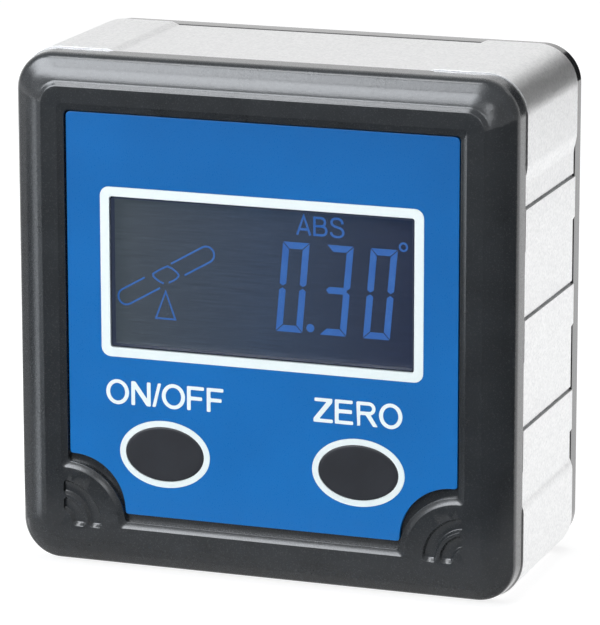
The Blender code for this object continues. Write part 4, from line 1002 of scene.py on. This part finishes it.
key_rubber = moulded("key_rubber", (0.0275, 0.0300, 0.0370), grain_per_mm=6.0, depth=0.07, smoothest=0.38,
                     roughest=0.50)
key_crown = ((0.12, 0.380), (0.35, 0.379), (0.55, 0.377), (0.74, 0.375), (0.88, 0.374), (0.965, 0.380))
key_side = ((-0.08, 0.40), (-0.05, 0.43), (-0.04, 0.50), (-0.15, 0.95), (-0.15, 2.3), (0.55, 2.3), (0.55, 3.0))
for key, side in (("on_off", -1), ("zero", 1)):
    bm = bmesh.new()
    rows = [hoop(bm, ellipse(side * KEY_X, KEY_Z, 4.25 * share, 2.82 * share, 64), depth)
            for share, depth in key_crown]
    rows += [hoop(bm, oval(side, grow), depth) for grow, depth in key_side]
    rows += [hoop(bm, circle(side * KEY_X, KEY_Z, 1.4, 64), depth) for depth in (3.0, 3.5)]
    solid(bm, rows)
    piece(f"{key}_cap", bm, key_rubber, f"{key}_button", (f"{key}_key",))


# Faceplate and its print.
# Blue polyester film bonded in the sunk deck, with rounded cut-outs for the corner pads.
# The white window border, key rings and key names are screen printed on it.

FILM_FRONT, FILM_BACK, PRINT_FRONT = 0.4, 0.8, 0.385

print_white, tree, shader = finish_tree("printed_white", Roughness=0.42)
tone = add(tree, "Group", node_tree=drifting_tone, Dark=(0.86, 0.95, 0.94, 1.0), Light=(0.93, 1.0, 0.99, 1.0),
           Patches_per_mm=4.0, Detail=3.0)
feed(tree, shader, Base_Color=tone)

blue_film, tree, shader = handled("blue_film", marks_per_mm=9.0, detail=2.0, raggedness=0.5, smoothest=0.24,
                                  roughest=0.34, depth=0.05)
place = millimetres(tree)
# The film's blue gets lighter towards its foot, with broad, slow patches.
drift = add(tree, "TexNoise", Vector=place, Scale=0.08, Detail=2.0)
upright = add(tree, "SeparateXYZ", Vector=place)
fade = add(tree, "MapRange", Value=upright.outputs["Z"], From_Min=50.0, From_Max=6.0, To_Min=-0.25, To_Max=0.55)
blend = add(tree, "Math", operation="ADD", use_clamp=True)
join(tree, fade, blend.inputs[0], drift, blend.inputs[1])
feed(tree, shader, Base_Color=ramp(tree, blend, (0.0016, 0.124, 0.405), (0.0030, 0.170, 0.530)))

bm = bmesh.new()
edge = [hoop(bm, plate_outline(grow), depth) for grow, depth in
        ((-0.07, FILM_FRONT), (-0.02, 0.415), (0.0, 0.46), (0.0, FILM_BACK))]
holes = [[hoop(bm, outline, depth) for depth in (FILM_FRONT, FILM_BACK)]
         for outline in (window(1.02), oval(-1, 0.68), oval(1, 0.68))]
for rows in [edge] + holes:
    wall(bm, rows)
flat(bm, [edge[0]] + [rows[0] for rows in holes])
flat(bm, [edge[-1]] + [rows[-1] for rows in holes])
piece("faceplate", bm, blue_film, stands_for=("face_label",))

for name, node, outer, inner in (
        ("window_frame_print", "window_border", window(1.0), window(0.0)),
        ("on_off_ring_print", "on_off_ring", oval(-1, 0.66), oval(-1, 0.0)),
        ("zero_ring_print", "zero_ring", oval(1, 0.66), oval(1, 0.0))):
    ring_piece = printed(name, [[outer, inner]], PRINT_FRONT, 0.4, print_white)
    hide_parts(node)

letter_top, letter_foot, letter_line, letter_arm = -6.91, -9.51, 0.42, 0.38


def eased(outline, reach=0.13):
    """Outline with a small round at each corner."""
    points = []
    for i, point in enumerate(outline):
        here, back, ahead = Vector(point), Vector(outline[i - 1]), Vector(outline[(i + 1) % len(outline)])
        before = here + (back - here).normalized() * min(reach, (back - here).length * 0.45)
        after = here + (ahead - here).normalized() * min(reach, (ahead - here).length * 0.45)
        points += bend(before, here, after, 3)
    return points


def letter(kind, left, right):
    """Capital letter between two sides, as an outline with its holes."""
    t, f, w, arm = letter_top, letter_foot, letter_line, letter_arm
    mid = (t + f) / 2
    if kind == "O":
        cx, hx, hz = (left + right) / 2, (right - left) / 2, (t - f) / 2 + 0.06
        return [ellipse(cx, mid, hx, hz, 48), ellipse(cx, mid, hx - w - 0.02, hz - arm - 0.02, 48)]
    strokes = {
        "N": [(left, f), (left + w, f), (left + w, t - 0.80), (right - w - 0.04, f), (right, f), (right, t),
              (right - w, t), (right - w, f + 0.80), (left + w + 0.04, t), (left, t)],
        "/": [(left, f), (left + 0.37, f), (right, t), (right - 0.37, t)],
        "F": [(left, f), (left + w, f), (left + w, mid - 0.20), (right - 0.21, mid - 0.20),
              (right - 0.21, mid + 0.20), (left + w, mid + 0.20), (left + w, t - arm), (right, t - arm),
              (right, t), (left, t)],
        "E": [(left, f), (right, f), (right, f + arm), (left + w, f + arm), (left + w, mid - 0.14),
              (right - 0.12, mid - 0.14), (right - 0.12, mid + 0.28), (left + w, mid + 0.28),
              (left + w, t - arm), (right - 0.05, t - arm), (right - 0.05, t), (left, t)],
        "Z": [(left, f), (right, f), (right, f + arm), (left + 0.64, f + arm), (right - 0.06, t - 0.42),
              (right - 0.06, t), (left + 0.12, t), (left + 0.12, t - arm), (right - 0.70, t - arm),
              (left, f + 0.40)],
    }
    if kind in strokes:
        return [eased(strokes[kind])]
    high, low = t, mid - 0.12
    round_out, round_in = (high - low) / 2, (high - low) / 2 - arm
    bowl_x, bowl_z = right - 0.20 - round_out, (high + low) / 2
    outer = eased([(left, f), (left + w, f), (left + w, low), (left + 1.02, low), (right - 0.46, f),
                   (right + 0.06, f), (left + 1.55, low + 0.06)])
    outer += arc(bowl_x, bowl_z, round_out, -pi / 2.6, pi / 2, 12) + [(left + 0.12, t), (left, t - 0.12)]
    inner = [(left + w, low + arm), (left + w, t - arm)] + arc(bowl_x, bowl_z, round_in, pi / 2, -pi / 2, 10)
    return [outer, inner]


for name, spans in (
        ("on_off_lettering", (("O", -17.30, -14.72), ("N", -14.46, -12.27), ("/", -12.10, -11.08),
                              ("O", -11.02, -8.41), ("F", -8.19, -6.28), ("F", -5.98, -4.12))),
        ("zero_lettering", (("Z", 5.84, 7.97), ("E", 8.18, 10.18), ("R", 10.53, 12.82),
                            ("O", 13.00, 15.54)))):
    printed(name, [letter(*span) for span in spans], PRINT_FRONT, 0.03, print_white)


# Battery cells.
# Two plain AAA cells side by side, pointing opposite ways: a shrunk film sleeve over a
# nickel plated can, with the bare contact at each end.

SLEEVE_HALF = 21.7

cell_sleeve, tree, shader = handled("cell_sleeve", marks_per_mm=1.1, detail=5.0, raggedness=0.5,
                                    smoothest=0.22, roughest=0.42, depth=0.0)
split = add(tree, "SeparateXYZ", Vector=millimetres(tree))
far = add(tree, "Math", operation="ABSOLUTE")
bare = add(tree, "Math", operation="GREATER_THAN")
bare.inputs[1].default_value = SLEEVE_HALF
join(tree, split.outputs["X"], far.inputs[0], far, bare.inputs[0])
feed(tree, shader, Metallic=bare, Base_Color=ramp(tree, bare, (0.030, 0.045, 0.085), (0.62, 0.61, 0.58)))
dress(cell_sleeve, "battery_cell_1", "battery_cell_2")
dress(tinned, "positive_contact", "negative_contact", "bridge_contact", "contact_spring_1",
      "contact_spring_2")


# Rear cover.
# Black ABS back plate with a round edge, moulded in one with the battery tray. Four
# deep seats take the screw heads, and rails on both long sides hold the sliding door.

COVER_FRONT, COVER_BACK, COVER_INSET, COVER_ROUND = 22.1, 24.4, 0.13, 0.28
TRAY_FRONT, TRAY_BACK, TRAY_WALL = 10.2, 22.3, 0.9
BAY_HALF_X, BAY_HALF_Z = 24.4, 10.95
DOOR_LEFT, DOOR_RIGHT, DOOR_FIT = -28.5, 24.7, 0.2

cover_abs = moulded("cover_abs", (0.018, 0.0185, 0.020), grain_per_mm=6.0, depth=0.20, smoothest=0.34,
                    roughest=0.50)
cover_rim = moulded("cover_rim", (0.022, 0.0225, 0.024), grain_per_mm=3.0, depth=0.03, smoothest=0.08,
                    roughest=0.16, Coat_Weight=0.55, Coat_Roughness=0.08)


def cover_rows(bm):
    """Outer form that the cover and the door's end share, level with the recesses of the frame."""
    profile = [(0.20, COVER_FRONT), (0.15, 22.12), (COVER_INSET, 22.18)]
    for a in (n * pi / 16 for n in range(9)):
        profile.append((COVER_INSET + COVER_ROUND * (1 - cos(a)), COVER_BACK - COVER_ROUND * (1 - sin(a))))
    rows = []
    for inset, depth in profile:
        half = BEZEL_HALF - inset
        rows.append(hoop(bm, rounded_square(half, half, BEZEL_CORNER - inset, 20), depth))
    solid(bm, rows)


def polish_rim(thing):
    """Glossier material on the outer sides of the cover."""
    thing.data.materials.append(cover_rim)
    for face in thing.data.polygons:
        x, z = abs(face.center.x) * 1000, abs(face.center.z * 1000 - BODY_HALF)
        outside = max(x, z) > 27.2 or Vector((max(x - 23.2, 0.0), max(z - 23.2, 0.0))).length > 3.9
        if outside and abs(face.normal.y) < 0.4 and face.center.y > 0.0098:
            face.material_index = 1


def box(bm, x0, x1, d0, d1, z0, z1):
    """Box between two places, in mm."""
    solid(bm, [hoop(bm, [(x0, z0), (x1, z0), (x1, z1), (x0, z1)], depth) for depth in (d0, d1)])


def door_section(bm, grow, x0, x1):
    """Door with its two tongues, run from x0 to x1."""
    panel, tongue = BAY_HALF_Z + grow, BAY_HALF_Z + 1.0 + grow
    upper = [(22.3 - grow, panel), (22.9 - grow, panel), (22.9 - grow, tongue), (23.5 + grow, tongue),
             (23.5 + grow, panel), (25.2, panel)]
    rows = [[bm.verts.new(spot(x, z, depth)) for depth, z in upper + [(d, -z) for d, z in reversed(upper)]]
            for x in (x0, x1)]
    solid(bm, rows, (1.0, 0.0, 0.0))


bm = bmesh.new()
cover_rows(bm)
cover_piece = piece("cover_moulding", bm, cover_abs, stands_for=("rear_cover",),
                    sharp=30.0)
bm = bmesh.new()
tray_x, tray_z = BAY_HALF_X + TRAY_WALL, BAY_HALF_Z + TRAY_WALL
box(bm, -tray_x, tray_x, TRAY_FRONT, TRAY_BACK, -tray_z, tray_z)
cut(cover_piece, "UNION", bm)
bm = bmesh.new()
box(bm, -25.5, 25.5, 21.2, 22.5, -13.05, 13.05)
box(bm, -TAB_HALF, TAB_HALF, 19.7, 22.5, 24.3, 25.5)
box(bm, -TAB_HALF, TAB_HALF, 19.7, 22.5, -25.5, -24.3)
cut(cover_piece, "UNION", bm)
bm = bmesh.new()
box(bm, -BAY_HALF_X, BAY_HALF_X, TRAY_FRONT + 1.0, TRAY_BACK, -BAY_HALF_Z, BAY_HALF_Z)
cut(cover_piece, "DIFFERENCE", bm)
bm = bmesh.new()
door_section(bm, DOOR_FIT, DOOR_LEFT, DOOR_RIGHT + DOOR_FIT)
cut(cover_piece, "DIFFERENCE", bm)
bm = bmesh.new()
screw_seat = [(21.9, SCREW_BORE), (23.1, SCREW_BORE), (23.1, 2.0), (24.25, 2.0), (24.6, 2.35)]
for sx, sz in CORNERS:
    solid(bm, [hoop(bm, circle(sx * SCREW_AT, sz * SCREW_AT, radius, 40), depth)
               for depth, radius in screw_seat])
for level in (-5.4, 5.4):
    box(bm, 23.7, 24.3, 10.0, 11.4, level - 1.2, level + 1.2)
cut(cover_piece, "DIFFERENCE", bm)
polish_rim(cover_piece)


# Battery door.
# Black ABS door that slides off to the left on two tongues, with a ribbed thumb dish
# near its inner end. Its outer end carries on the cover's round edge.

DISH_X, DISH_HALF_X, DISH_HALF_Z, DISH_CORNER = 11.7, 6.5, 3.5, 3.3
RIB_PITCH, RIB_HALF_X, RIB_HALF_Z, RIB_CORNER = 2.0, 0.4, 2.7, 0.38

bm = bmesh.new()
cover_rows(bm)
door_piece = piece("door_moulding", bm, cover_abs, "battery_door", ("battery_door",),
                   sharp=30.0)
bm = bmesh.new()
door_section(bm, 0.0, DOOR_LEFT, DOOR_RIGHT)
cut(door_piece, "INTERSECT", bm)


def rounded_block(bm, half_x, half_z, corner, steps, cx, profile):
    """Block with round corners, whose outline grows by depth as the profile says."""
    solid(bm, [hoop(bm, rounded_square(half_x + grow, half_z + grow, corner + grow, steps, cx), depth)
               for grow, depth in profile])


bm = bmesh.new()
rounded_block(bm, DISH_HALF_X, DISH_HALF_Z, DISH_CORNER, 14, DISH_X,
              ((-0.55, 23.80), (-0.35, 23.84), (-0.12, 23.98), (0.10, 24.25), (0.35, 24.5)))
cut(door_piece, "DIFFERENCE", bm)
bm = bmesh.new()
for n in range(5):
    rounded_block(bm, RIB_HALF_X, RIB_HALF_Z, RIB_CORNER, 5, DISH_X + (n - 2) * RIB_PITCH,
                  ((0.0, 23.5), (0.0, 24.12), (-0.05, 24.22), (-0.16, 24.29), (-0.30, 24.30)))
cut(door_piece, "UNION", bm)
